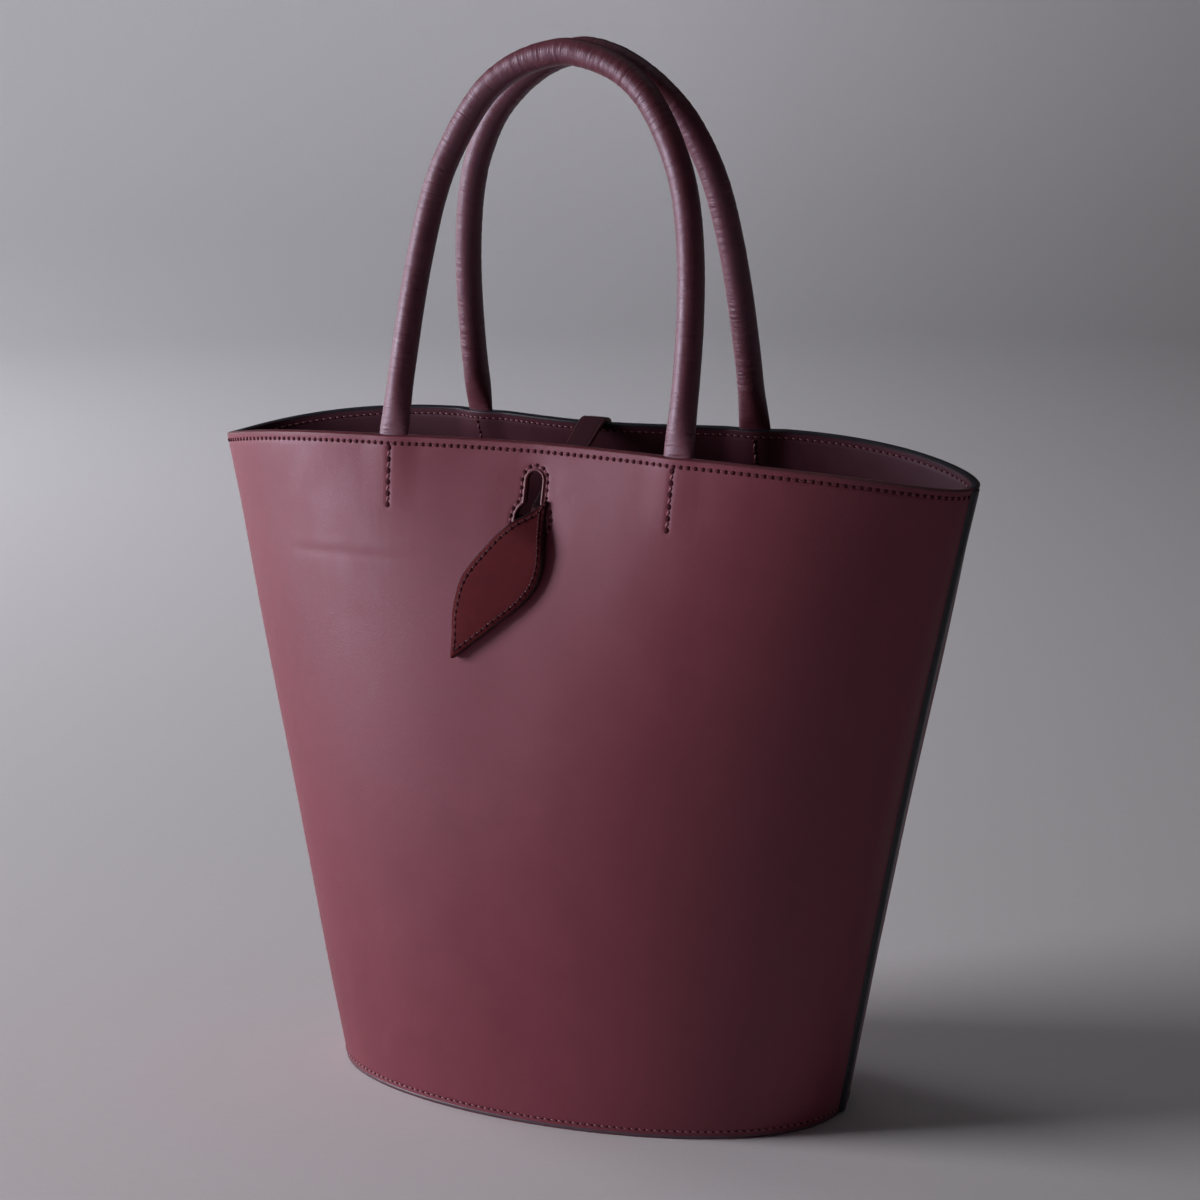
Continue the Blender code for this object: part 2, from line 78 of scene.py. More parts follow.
# Handles
HANDLE_DIAMETER = 10.5 * MM
HANDLE_SPREAD = 62.8 * MM
HANDLE_RISE = {FRONT: 151.0 * MM, BACK: 149.2 * MM}
LEAN_IN = {FRONT: 3.4 * MM, BACK: -2.6 * MM}  # more towards each other, halfway up
SHOULDER = {FRONT: 0.045, BACK: 0.0}  # more spread near the top
HANDLE_ROUNDING = 0.14
LEAN = {FRONT: math.radians(12.5), BACK: math.radians(9.2)}
TAB_LENGTH = 24.0 * MM
TAB_WIDTH = 10.4 * MM
FOOT_WIDTH = 12.6 * MM
PANEL_BULGE = 0.8 * MM
FACING_BULGE = 3.0 * MM
BULGE_HALF_WIDTH = 14.5 * MM
BULGE_LENGTH = 32.0 * MM

# Keyhole, closing strap and leaf
KEYHOLE_SHIFT = 1.8 * MM
KEYHOLE_TOP = 10.0 * MM
SLOT_WIDTH = 7.2 * MM
HOLE_RADIUS = 7.0 * MM
HOLE_DEPTH = 28.3 * MM
STRAP_WIDTH = 10.5 * MM
STRAP_WALL = 1.8 * MM
STRAP_NECK = 7.4 * MM
STRAP_CLEARANCE = 0.6 * MM
STRAP_ANCHOR = 38.0 * MM
STRAP_BACK_X = -2.0 * MM
STRAP_FRONT_X = 4.2 * MM
NECK_DEPTH = 26.2 * MM
LEAF_LENGTH = 63.2 * MM
LEAF_WIDTH = 26.1 * MM
LEAF_HANG = math.radians(28.6)
LEAF_STAND_TOP = 3.9 * MM
LEAF_STAND_TIP = 2.5 * MM

# Sewing
STITCH_PITCH = 3.0 * MM
HANDLE_STITCH_PITCH = 4.3 * MM
STITCH_INSET = 2.8 * MM  # from a rim to its line of stitches
THREAD_WIDTH = 0.60 * MM
HOLE_WIDTH = 1.9 * MM
SEAM_HOLE_WIDTH = 2.4 * MM
WRINKLE_DEPTH = 0.45 * MM
HANDLE_SEAM_TOP = 4.5 * MM  # below the rim
HANDLE_SEAM_END = 26.5 * MM
KEYHOLE_STITCH_GAP = 2.0 * MM  # from the keyhole's edge
HEM_STITCH_HEIGHT = 3.1 * MM
HEM_EDGE_HEIGHT = 1.9 * MM
SEAM_EDGE_WIDTH = 6.8 * MM
SEAM_EDGE_STAND = 1.5 * MM
SEAM_EDGE_SINK = 0.4 * MM
SEAM_EDGE_SHIFT = 1.5 * MM  # towards the back
LEAF_STITCH_PITCH = 2.9 * MM
LEAF_WALL = 3.7 * MM
LEAF_LAYER = 1.25 * MM
LEAF_TURN = math.radians(4)

# One row is one level of the body, as shares: see the panel sizes above.
Level = namedtuple("Level", "height toward_mouth belly pinch front_bluntness back_bluntness")
LEVELS = (
    Level(0.00, 0.00, 0.00, 0.00, 0.893, 0.893),
    Level(0.25, 0.25, 0.75, 0.00, 0.891, 0.796),
    Level(0.50, 0.50, 1.00, 0.08, 0.921, 0.730),
    Level(0.75, 0.75, 0.75, 0.41, 0.984, 0.698),
    Level(1.00, 1.00, 0.00, 1.00, 1.079, 0.698),
)
# One row is one level of a handle: shares of HANDLE_RISE and of half the distance of its feet.
Arch = namedtuple("Arch", "rise spread")
ARCH = (
    Arch(0.00, 1.000),
    Arch(0.21, 0.993),
    Arch(0.42, 0.962),
    Arch(0.62, 0.888),
    Arch(0.75, 0.778),
    Arch(0.86, 0.610),
    Arch(0.95, 0.355),
    Arch(0.99, 0.150),
    Arch(1.00, 0.000),
)
LEG_STATIONS = (
    0.0, 0.035, 0.08, 0.14, 0.21, 0.30, 0.40, 0.50, 0.60,
    0.69, 0.77, 0.84, 0.90, 0.945, 0.975, 0.993,
)
TAB_STATIONS = (1.0, 0.70, 0.40, 0.15)
# One row is one station of the leaf: shares of its length, and of its width to each side.
Blade = namedtuple("Blade", "along left right")
LEAF = (
    Blade(-0.130, -0.085, 0.100),
    Blade(-0.085, -0.050, 0.145),
    Blade(-0.04, 0.0, 0.195),
    Blade(0.01, 0.08, 0.26),
    Blade(0.07, 0.175, 0.34),
    Blade(0.13, 0.245, 0.43),
    Blade(0.23, 0.335, 0.555),
    Blade(0.34, 0.40, 0.605),
    Blade(0.45, 0.455, 0.565),
    Blade(0.55, 0.475, 0.48),
    Blade(0.66, 0.415, 0.36),
    Blade(0.77, 0.315, 0.255),
    Blade(0.88, 0.16, 0.135),
    Blade(1.00, 0.02, 0.02),
)

# Camera, which stands to the bag's right and looks down on it
CAMERA_AZIMUTH = math.radians(26.558)
CAMERA_ELEVATION = math.radians(12.042)
CAMERA_ROLL = math.radians(-0.567)
CAMERA_DISTANCE = 1283.7 * MM
CAMERA_AIM = Vector((0.0, 0.0, 200.0 * MM))
CAMERA_LENS = 96.39  # mm, on a sensor 36 mm wide
CAMERA_SHIFT = (0.0101, -0.0022)


# ---- maths of the walls


def smooth_row(rows, value):
    """The table's row at a value of its first column, on a smooth curve through the rows."""
    index = 0
    while index < len(rows) - 2 and value > rows[index + 1][0]:
        index += 1
    before = rows[max(index - 1, 0)]
    low = rows[index]
    high = rows[index + 1]
    after = rows[min(index + 2, len(rows) - 1)]
    span = high[0] - low[0]
    share = (value - low[0]) / span
    result = [value]
    for column in range(1, len(low)):
        slope_low = (high[column] - before[column]) / (high[0] - before[0])
        slope_high = (after[column] - low[column]) / (after[0] - low[0])
        a = 2 * share**3 - 3 * share**2 + 1
        b = share**3 - 2 * share**2 + share
        c = 3 * share**2 - 2 * share**3
        d = share**3 - share**2
        ends = a * low[column] + c * high[column]
        result.append(ends + span * (b * slope_low + d * slope_high))
    return type(low)(*result)


def ease(value, low, high):
    """0 below low, 1 above high, and smooth between them."""
    share = min(max((value - low) / (high - low), 0.0), 1.0)
    return share * share * (3 - 2 * share)


def hump(value, width):
    """1 at 0 and falling away smoothly to about nothing at twice the width."""
    return math.exp(-((value / width) ** 2))


def rim_height(across):
    return BODY_HEIGHT - RIM_DROP * (0.1 * across**2 + 0.9 * across**4)


def section_point(side, angle, level):
    """A point of the body's outer surface: angle 0 is the right seam and pi the left one."""
    across = math.cos(angle)
    go = level.toward_mouth
    half_width = BASE_HALF_WIDTH + (MOUTH_HALF_WIDTH - BASE_HALF_WIDTH) * go
    half_width -= SIDE_BOW * level.belly
    mouth_depth = MOUTH_DEPTH[side] + TILT[side] * across
    depth = BASE_HALF_DEPTH + (mouth_depth - BASE_HALF_DEPTH) * go + BELLY * level.belly
    bluntness = level.front_bluntness if side == FRONT else level.back_bluntness
    drawn_in = PINCH[side] * level.pinch * math.exp(-((across / PINCH_WIDTH[side]) ** 2))
    middle = (MOUTH_SHIFT - MOUTH_TWIST * across) * go
    y = middle + side * (depth * math.sin(angle) ** bluntness - drawn_in)
    return Vector((half_width * across, y, level.height * rim_height(across)))


def below_rim(depth):
    """The share of the height that lies this far below the rim."""
    return 1 - depth / BODY_HEIGHT


class Wall:
    """One half of the body, from the left side seam, share -1, to the right one, share 1."""

    def __init__(self, side):
        self.side = side
        self.known = {}
        self.rim_length = self.row(1.0)[1][-1]
        self.handle_share = 2 * HANDLE_SPREAD / self.rim_length

    def row(self, height):
        """The points of the section at a share of the height, and their distances along it."""
        if height not in self.known:
            level = smooth_row(LEVELS, min(max(height, 0.0), 1.0))
            points = []
            for step in range(OUTLINE_STEPS + 1):
                turn = math.pi * (1 - step / OUTLINE_STEPS)
                turn -= SEAM_CROWDING * math.sin(2 * turn)
                points.append(section_point(self.side, min(max(turn, 0.0), math.pi), level))
            lengths = [0.0]
            for first, second in zip(points, points[1:]):
                lengths.append(lengths[-1] + (second - first).length)
            self.known[height] = (points, lengths)
        return self.known[height]

    def plain(self, along, height):
        """A place on the outer surface of the wall, and its outward direction."""
        points, lengths = self.row(height)
        target = lengths[-1] * (along + 1) / 2
        low = 0
        high = len(lengths) - 1
        while high - low > 1:
            middle = (low + high) // 2
            if lengths[middle] < target:
                low = middle
            else:
                high = middle
        share = (target - lengths[low]) / (lengths[high] - lengths[low])
        way = self.tangent(points, low).lerp(self.tangent(points, high), share)
        outward = Vector((-way.y, way.x, 0.0)).normalized() * self.side
        return points[low].lerp(points[high], share), outward

    def spot(self, along, height, inset=0.0):
        """A place on the wall, this far inside its outer surface."""
        place, outward = self.plain(along, height)
        return place - outward * inset

    def tangent(self, points, corner):
        if corner == 0:
            return Vector((0.0, self.side, 0.0))
        if corner == len(points) - 1:
            return Vector((0.0, -self.side, 0.0))
        way = points[corner + 1] - points[corner - 1]
        return Vector((way.x, way.y, 0.0)).normalized()

    def outward(self, along, height):
        return self.plain(along, height)[1]

    def bulge(self, along, height):
        """0 away from the handle ends, 1 over one at the rim."""
        aside = (abs(along) - self.handle_share) * self.rim_length / 2 / BULGE_HALF_WIDTH
        below = (1 - height) * BODY_HEIGHT / BULGE_LENGTH
        if abs(aside) >= 1 or below >= 1:
            return 0.0
        return math.cos(math.pi / 2 * aside) ** 2 * (1 - below**2)

    def share_at_x(self, x, height):
        """The share at which the section crosses this x."""
        points, lengths = self.row(height)
        index = 0
        while index < len(points) - 2 and points[index + 1].x < x:
            index += 1
        share = (x - points[index].x) / (points[index + 1].x - points[index].x)
        reached = lengths[index] + share * (lengths[index + 1] - lengths[index])
        return 2 * reached / lengths[-1] - 1


WALLS = {side: Wall(side) for side in (FRONT, BACK)}


# ---- relief of the sewn leather


def keyhole_distance(x, z):
    """How far a place on the front wall is outside the keyhole's edge, less than 0 inside it."""
    aside = abs(x - KEYHOLE_SHIFT)
    top = BODY_HEIGHT - KEYHOLE_TOP - SLOT_WIDTH / 2
    hole = BODY_HEIGHT - HOLE_DEPTH
    above = max(z - top, 0.0, hole - z)
    slot = math.hypot(aside, above) - SLOT_WIDTH / 2
    wide = math.hypot(aside, z - hole) - HOLE_RADIUS
    return min(slot, wide)


def panel_relief(wall, along, height, place):
    """How far the outer leather stands out of the plain wall at a place."""
    below = (1 - height) * BODY_HEIGHT
    arc = along * wall.rim_length / 2
    edge = min(1.0, (1 - abs(along)) * wall.rim_length / 2 / (14 * MM))
    calm = ease(below, 2 * MM, 40 * MM) * ease(height, 0.0, 0.12) * edge
    wave = noise.noise(Vector((arc / (95 * MM), wall.side * 3.1, below / (120 * MM))))
    ripple = noise.noise(Vector((arc / (34 * MM), wall.side * 7.7, below / (46 * MM))))
    stand = calm * (1.1 * MM * wave + 0.16 * MM * ripple)
    stand += PANEL_BULGE * wall.bulge(along, height)
    stand -= 0.20 * MM * hump(below - STITCH_INSET, 1.0 * MM)
    stand -= 0.20 * MM * hump(height * BODY_HEIGHT - HEM_STITCH_HEIGHT, 0.7 * MM)
    aside = (abs(along) - wall.handle_share) * wall.rim_length / 2
    sewn = ease(below, HANDLE_SEAM_TOP - 2 * MM, HANDLE_SEAM_TOP)
    sewn *= 1 - ease(below, HANDLE_SEAM_END, HANDLE_SEAM_END + 2 * MM)
    stand -= 0.28 * MM * sewn * hump(aside, 1.1 * MM)
    if wall.side == FRONT:
        stand += front_marks(arc, below, place)
    return stand


def front_marks(arc, below, place):
    """The front's own marks: the line that the facing's lower edge presses through, and the
    dent and the sewn groove round the keyhole."""
    pressed = hump(below - 46.8 * MM, 2.1 * MM) * -0.15 + hump(below - 43.0 * MM, 2.8 * MM) * 0.06
    left = ease(arc, -122 * MM, -104 * MM) * (1 - ease(arc, -60 * MM, -42 * MM))
    right = 0.45 * ease(arc, 84 * MM, 94 * MM) * (1 - ease(arc, 108 * MM, 122 * MM))
    stand = pressed * MM * (left + right)
    if abs(arc) < 60 * MM and below < 80 * MM:
        away = keyhole_distance(place.x, place.z)
        stand -= 0.20 * MM * hump(away - KEYHOLE_STITCH_GAP, 0.7 * MM)
        stand -= 0.65 * MM * hump(max(away, 0.0), 9 * MM)
    return stand


def panel_place(wall, along, height, inset=0.0):
    """A place on the dressed panel, this far inside its outer face."""
    plain, outward = wall.plain(along, height)
    return plain + outward * (panel_relief(wall, along, height, plain) - inset)


def facing_place(wall, along, height, inset=0.0):
    """A place on the facing, this far inside its hidden side."""
    below = (1 - height) * BODY_HEIGHT
    stand = FACING_BULGE * wall.bulge(along, height)
    stand -= 0.15 * MM * hump(below - STITCH_INSET, 0.6 * MM)
    return wall.spot(along, height, PANEL_WALL + CLEARANCE + stand + inset)


# ---- mesh helpers


def finished(sheet, name, finishes, replaced=()):
    """A piece of the bag from a bmesh, riding on its one body."""
    mesh = bpy.data.meshes.new(name)
    sheet.to_mesh(mesh)
    sheet.free()
    mesh.shade_smooth()
    mesh.set_sharp_from_angle(angle=math.radians(42))
    piece = bpy.data.objects.new(name, mesh)
    bpy.context.scene.collection.objects.link(piece)
    for finish in finishes:
        mesh.materials.append(finish)
    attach(piece, "root")
    if replaced:
        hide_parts(*replaced)
    return piece


def settle(piece):
    """Bakes the piece's modifiers into its mesh."""
    graph = bpy.context.evaluated_depsgraph_get()
    mesh = bpy.data.meshes.new_from_object(piece.evaluated_get(graph))
    old = piece.data
    piece.modifiers.clear()
    piece.data = mesh
    bpy.data.meshes.remove(old)


def thicken(piece, wall, inner_finish=0):
    solid = piece.modifiers.new("leather", "SOLIDIFY")
    solid.thickness = wall
    solid.offset = -1.0
    solid.use_even_offset = True
    solid.material_offset = inner_finish


def stepped(start, end, step_at):
    """Values from start to end in steps that step_at(value) gives."""
    values = [start]
    while values[-1] + step_at(values[-1]) * 1.4 < end:
        values.append(values[-1] + step_at(values[-1]))
    return [*values, end]


def draped_sheet(columns, rows, place, turned):
    """A grid laid onto place(column, row)."""
    sheet = bmesh.new()
    across = len(columns) - 1
    down = len(rows) - 1
    bmesh.ops.create_grid(sheet, x_segments=across, y_segments=down, size=1.0)
    for vert in sheet.verts:
        column = columns[round((vert.co.x + 1) / 2 * across)]
        row = rows[round((vert.co.y + 1) / 2 * down)]
        vert.co = place(column, row)
    if turned:
        bmesh.ops.reverse_faces(sheet, faces=sheet.faces)
    return sheet


def extruded(sheet, ring):
    """Extrudes a closed ring of vertices and gives the new ring, in the same order."""
    edges = [sheet.edges.get((ring[i - 1], ring[i])) for i in range(len(ring))]
    grown = bmesh.ops.extrude_edge_only(sheet, edges=edges)["geom"]
    new = {vert for vert in grown if isinstance(vert, bmesh.types.BMVert)}
    return [next(e.other_vert(v) for e in v.link_edges if e.other_vert(v) in new) for v in ring]


def swept(stations, sides, looped=False, step=1 * MM):
    """A tube: a circle carried from station to station by extruding it. A station is a matrix
    that turns the unit circle into the section there, or a function of a circle point. The
    attribute "roll" holds the place round the tube and the run along it."""
    tube = bmesh.new()
    roll = tube.verts.layers.float_vector.new("roll")
    ring = bmesh.ops.create_circle(tube, segments=sides, radius=1.0)["verts"]
    circle = [vert.co.copy() for vert in ring]
    first = list(ring)

    def put(verts, station, run):
        for vert, point in zip(verts, circle):
            vert.co = station(point) if callable(station) else station @ point
            vert[roll] = (point.x * 5 * MM, point.y * 5 * MM, run)

    put(ring, stations[0], 0.0)
    for index, station in enumerate(stations[1:], 1):
        ring = extruded(tube, ring)
        put(ring, station, index * step)
    ends = []
    for loop in (first, ring):
        ends.append([tube.edges.get((loop[i - 1], loop[i])) for i in range(sides)])
    if looped:
        bmesh.ops.bridge_loops(tube, edges=ends[0] + ends[1])
    else:
        for loop in ends:
            bmesh.ops.contextual_create(tube, geom=loop)
    bmesh.ops.recalc_face_normals(tube, faces=tube.faces)
    return tube


def station(place, across, outward, half_width, half_height):
    """The matrix that lays a unit circle across a path at a place."""
    matrix = Matrix.Identity(4)
    matrix.col[0].xyz = across * half_width
    matrix.col[1].xyz = outward * half_height
    matrix.col[2].xyz = across.cross(outward)
    matrix.col[3].xyz = place
    return matrix


def bead_stations(places, outwards, half_width, half_height, looped=False):
    """Stations of a bead along places, its height along the outward directions."""
    stations = []
    last = len(places) - 1
    for index, (place, outward) in enumerate(zip(places, outwards)):
        ahead = places[(index + 1) % len(places) if looped else min(index + 1, last)]
        behind = places[index - 1 if looped else max(index - 1, 0)]
        tangent = (ahead - behind).normalized()
        out = (outward - tangent * outward.dot(tangent)).normalized()
        stations.append(station(place, tangent.cross(out), out, half_width, half_height))
    return stations


def spotted(sheet, matrix, rings):
    """Adds a small ellipsoid to a sheet."""
    bmesh.ops.create_uvsphere(sheet, u_segments=8, v_segments=rings, radius=1.0, matrix=matrix)


def sewing(
    name, lines, pitch, thread,
    width=THREAD_WIDTH, bite=0.52, slant=0.16, hole_width=HOLE_WIDTH,
):
    """Threads and the holes between them, along lines of (place, outward) pairs; the holes are dark
    spots that paint the shade in them. Bite is the share of the pitch that lies on top, and slant
    how much a thread leans across its line."""
    threads = bmesh.new()
    holes = bmesh.new()
    for line in lines:
        lengths = [0.0]
        for (first, _), (second, _) in zip(line, line[1:]):
            lengths.append(lengths[-1] + (second - first).length)
        count = max(int(round(lengths[-1] / pitch)), 1)
        index = 0
        for stitch in range(count + 1):
            for kind in (0, 1):
                target = (stitch + kind / 2) * lengths[-1] / count
                if target > lengths[-1] + 1e-9:
                    continue
                while index < len(lengths) - 2 and lengths[index + 1] < target:
                    index += 1
                share = (target - lengths[index]) / max(lengths[index + 1] - lengths[index], 1e-9)
                place = line[index][0].lerp(line[index + 1][0], share)
                outward = line[index][1].lerp(line[index + 1][1], share)
                tangent = (line[index + 1][0] - line[index][0]).normalized()
                outward = (outward - tangent * outward.dot(tangent)).normalized()
                across = tangent.cross(outward)
                if kind == 0:
                    matrix = station(place, across, outward, hole_width / 2, 0.55 * MM)
                    matrix.col[2].xyz = tangent * (1 - bite) * pitch * 0.60
                    spotted(holes, matrix, 5)
                else:
                    lean = (across * slant + tangent).normalized()
                    aside = outward.cross(lean)
                    matrix = station(place, aside, outward, width / 2, width * 0.55)
                    matrix.col[2].xyz = lean * pitch * bite / 2
                    spotted(threads, matrix, 6)
    for mesh in (threads, holes):
        bmesh.ops.recalc_face_normals(mesh, faces=mesh.faces)
    finished(threads, name + "_threads", [thread])
    finished(holes, name + "_hole_shade", [HOLE_SHADE_AND_THREAD])


# ---- materials


def linear(hex_colour):
    """An sRGB hex colour as linear red, green, blue and 1."""
    channels = [int(hex_colour[i : i + 2], 16) / 255 for i in (1, 3, 5)]
    return (*[c / 12.92 if c <= 0.04045 else ((c + 0.055) / 1.055) ** 2.4 for c in channels], 1.0)


def node(material, kind, settings, links):
    """Adds a node, sets its properties and inputs, and links what feeds it."""
    tree = material.node_tree
    made = tree.nodes.new("ShaderNode" + kind)
    for name, value in settings.items():
        if isinstance(name, int) or name in made.inputs:
            made.inputs[name].default_value = value
        else:
            setattr(made, name, value)
    for name, source in links.items():
        tree.links.new(made.inputs[name], source)
    return made


def leather(
    name, dark, light, grain_mm, roughness, grain_depth, mottle_mm=14.0, gloss=0.65, wrinkle_mm=0.0
):
    """Drum-dyed, waxed cowhide: dye that lies unevenly, a fine pebble grain and small pores.
    On a rolled piece fine wrinkles run across it as well."""
    material = bpy.data.materials.new(name)
    material.use_nodes = True
    shader = material.node_tree.nodes["Principled BSDF"]
    links = material.node_tree.links
    at = {"Vector": node(material, "TexCoord", {}, {}).outputs["Object"]}
    cloudy = {"Scale": 1000 / mottle_mm, "Detail": 5.0, "Roughness": 0.55}
    cloud = node(material, "TexNoise", cloudy, at).outputs["Fac"]
    broad = node(material, "TexNoise", {"Scale": 1000 / 90.0, "Detail": 2.0}, at).outputs["Fac"]
    dye = node(material, "Mix", {"data_type": "FLOAT"}, {"A": cloud, "B": broad})
    ramp = two_tones(material, dye.outputs[0], dark, light, 0.34)
    cracks = {"feature": "DISTANCE_TO_EDGE", "Scale": 1000 / grain_mm}
    cells = node(material, "TexVoronoi", cracks, at).outputs["Distance"]
    pebble = node(material, "MapRange", {"From Max": 0.35}, {"Value": cells}).outputs["Result"]
    fine = {"Scale": 1000 / (grain_mm * 0.6), "Detail": 4.0}
    pores = node(material, "TexNoise", fine, at).outputs["Fac"]
    mixed = {"data_type": "FLOAT", "Factor": 0.45}
    grain = node(material, "Mix", mixed, {"A": pebble, "B": pores})
    span = {"From Min": 0.3, "From Max": 0.7, "To Min": roughness - 0.05}
    worn = node(material, "MapRange", {**span, "To Max": roughness + 0.06}, {"Value": cloud})
    bump = node(material, "Bump", {"Distance": grain_depth * MM}, {"Height": grain.outputs[0]})
    if wrinkle_mm:
        roll = node(material, "Attribute", {"attribute_name": "roll"}, {}).outputs["Vector"]
        across = {"operation": "MULTIPLY", 1: (0.16, 0.16, 1.0)}
        squeezed = node(material, "VectorMath", across, {0: roll}).outputs["Vector"]
        ridged = {"Scale": 1000 / wrinkle_mm, "Detail": 3.0, "Roughness": 0.6}
        folds = node(material, "TexNoise", ridged, {"Vector": squeezed}).outputs["Fac"]
        creased = node(material, "Bump", {"Distance": WRINKLE_DEPTH}, {"Height": folds})
        links.new(bump.inputs["Normal"], creased.outputs["Normal"])
    links.new(shader.inputs["Base Color"], ramp.outputs["Color"])
    links.new(shader.inputs["Roughness"], worn.outputs["Result"])
    links.new(shader.inputs["Normal"], bump.outputs["Normal"])
    shader.inputs["Specular IOR Level"].default_value = gloss
    shader.inputs["Specular Tint"].default_value = (0.86, 0.80, 1.0, 1.0)
    return material


def two_tones(material, source, dark, light, margin):
    """A ramp from the dark to the light colour over the middle of a noise's range."""
    ramp = node(material, "ValToRGB", {}, {"Fac": source})
    low, high = ramp.color_ramp.elements
    low.position, high.position = margin, 1 - margin
    low.color, high.color = linear(dark), linear(light)
    return ramp


def coated(name, dark, light, roughness, patch_mm, bump_depth, gloss=0.5):
    """A smooth dyed or painted finish with a slightly uneven coat."""
    material = bpy.data.materials.new(name)
    material.use_nodes = True
    shader = material.node_tree.nodes["Principled BSDF"]
    at = {"Vector": node(material, "TexCoord", {}, {}).outputs["Object"]}
    patch = node(material, "TexNoise", {"Scale": 1000 / patch_mm, "Detail": 3.0}, at).outputs["Fac"]
    ramp = two_tones(material, patch, dark, light, 0.3)
    bump = node(material, "Bump", {"Distance": bump_depth * MM}, {"Height": patch})
    links = material.node_tree.links
    links.new(shader.inputs["Base Color"], ramp.outputs["Color"])
    links.new(shader.inputs["Normal"], bump.outputs["Normal"])
    shader.inputs["Roughness"].default_value = roughness
    shader.inputs["Specular IOR Level"].default_value = gloss
    return material


# Waxed outer leather: deep burgundy, with a broad cool sheen where it faces the window
OUTER = leather("burgundy_waxed_cowhide", "#722F3A", "#7A3440", 0.9, 0.50, 0.035, gloss=0.50)
# Its inside: a dull, fibrous, darker plum
INNER = leather("plum_flesh_side", "#38161F", "#45202A", 0.7, 0.78, 0.06, mottle_mm=5.0, gloss=0.3)
# Facings, base and strap: dark plum, a little smoother than the flesh side
FACING = leather("plum_facing_cowhide", "#451C27", "#50232F", 0.8, 0.52, 0.035, gloss=0.5)
# Handles: thin glossy hide, with fine wrinkles across it that break up the highlight
ROLLED = leather(
    "burgundy_rolled_cowhide", "#582530", "#68303B", 0.8, 0.46, 0.03,
    mottle_mm=6.0, gloss=0.85, wrinkle_mm=1.7,
)
# Leaf: redder and nearly without sheen, so that it stands out from the panel
LEAF_HIDE = leather(
    "crimson_brown_cowhide", "#521A1E", "#5F2125", 0.7, 0.80, 0.05, mottle_mm=8.0, gloss=0.12
)
# Edge paints: smooth and domed, each with a thin line of light along it
EDGE_PAINT = coated("blue_black_edge_paint", "#202028", "#2C2C35", 0.36, 3.0, 0.05, gloss=0.4)
WINE_EDGE = coated("burgundy_edge_paint", "#602A34", "#6C323D", 0.38, 3.0, 0.04)
# The hem's paint is lightened to grey plum: partly the paint's own colour, partly a painted
# reflection of the pale floor that it faces.
HEM_PAINT_AND_FLOOR_REFLECTION = coated("grey_plum_edge_paint_with_painted_floor_reflection", "#4A3C46", "#584953", 0.40, 3.0, 0.05)
DARK_EDGE = coated("dark_burgundy_edge_paint", "#1E0C0F", "#281115", 0.42, 3.0, 0.05)
# Waxed wine threads: outside and inside they are lightened copies with a painted highlight, the
# light that the glossy thread catches (lighter outside, softer inside); on the leaf they keep their
# own dark wine colour
THREAD_WITH_PAINTED_HIGHLIGHT = coated("waxed_linen_thread_with_painted_highlight", "#8A4E5A", "#A0626E", 0.42, 0.5, 0.04)
INSIDE_THREAD_WITH_PAINTED_HIGHLIGHT = coated("waxed_plum_thread_with_painted_highlight", "#7A4450", "#8E5562", 0.42, 0.5, 0.04)
LEAF_THREAD = coated("wine_linen_thread", "#40151C", "#4E1D26", 0.45, 0.5, 0.04)
# Needle holes: the dark wine thread sunk in them, darkened further with the painted shade of the
# hollow; matt, they draw the seams from afar
HOLE_SHADE_AND_THREAD = coated("sunken_wine_stitch_with_painted_hole_shade", "#3E121D", "#4A1824", 0.75, 1.0, 0.02, gloss=0.15)


# ---- pieces


def panel_steps(arc):
    """How far apart the columns of a shell are at a distance along the rim."""
    near_handle = abs(abs(arc) - HANDLE_SPREAD) < 5 * MM
    near_keyhole = abs(arc - KEYHOLE_SHIFT) < 15 * MM
    if near_handle or near_keyhole:
        return 0.75 * MM
    if abs(abs(arc) - HANDLE_SPREAD) < 16 * MM:
        return 1.4 * MM
    return 2.0 * MM


def row_steps(depth):
    """How far apart its rows are at a depth below the rim."""
    if depth < 6 * MM:
        return 0.55 * MM
    if depth < 50 * MM:
        return 0.95 * MM
    if depth > BODY_HEIGHT - 8 * MM:
        return 0.7 * MM
    return 3.2 * MM


def shell_grid(wall, lowest):
    half = wall.rim_length / 2
    columns = [arc / half for arc in stepped(-half, half, panel_steps)]
    columns[0] = CLEARANCE / 2 / half - 1
    columns[-1] = 1 - CLEARANCE / 2 / half
    rows = [below_rim(depth) for depth in stepped(0.0, lowest, row_steps)]
    return columns, rows[::-1]


def keyhole_profile(grow=0.0, fine=1):
    """Points (x, z) round the keyhole, this far outside its edge."""
    top = BODY_HEIGHT - KEYHOLE_TOP
    radius = SLOT_WIDTH / 2
    wide = HOLE_RADIUS + grow
    half = radius + grow
    centre = BODY_HEIGHT - HOLE_DEPTH
    points = []
    steps = 8 * fine
    for step in range(steps + 1):
        turn = math.pi * (1 - step / steps)
        points.append((half * math.cos(turn), top - radius + half * math.sin(turn)))
    join = math.asin(min(math.sqrt(max(wide**2 - half**2, 0.0)) / wide, 1.0))
    low_end = centre + wide * math.sin(join)
    straight = top - radius - low_end
    for step in range(1, 4 * fine):
        points.append((half, top - radius - straight * step / (4 * fine)))
    steps = 16 * fine
    sweep = math.pi + 2 * join
    for step in range(steps + 1):
        turn = join - sweep * step / steps
        points.append((wide * math.cos(turn), centre + wide * math.sin(turn)))
    for step in range(1, 4 * fine):
        points.append((-half, low_end + straight * step / (4 * fine)))
    return [(KEYHOLE_SHIFT + x, z) for x, z in points]


def on_front(x, z, lift=0.0):
    """The place on the front panel's outer face at this x and height, and its outward way."""
    wall = WALLS[FRONT]
    height = z / BODY_HEIGHT
    along = wall.share_at_x(x, height)
    place = panel_place(wall, along, height, -lift)
    return place, wall.outward(along, height)


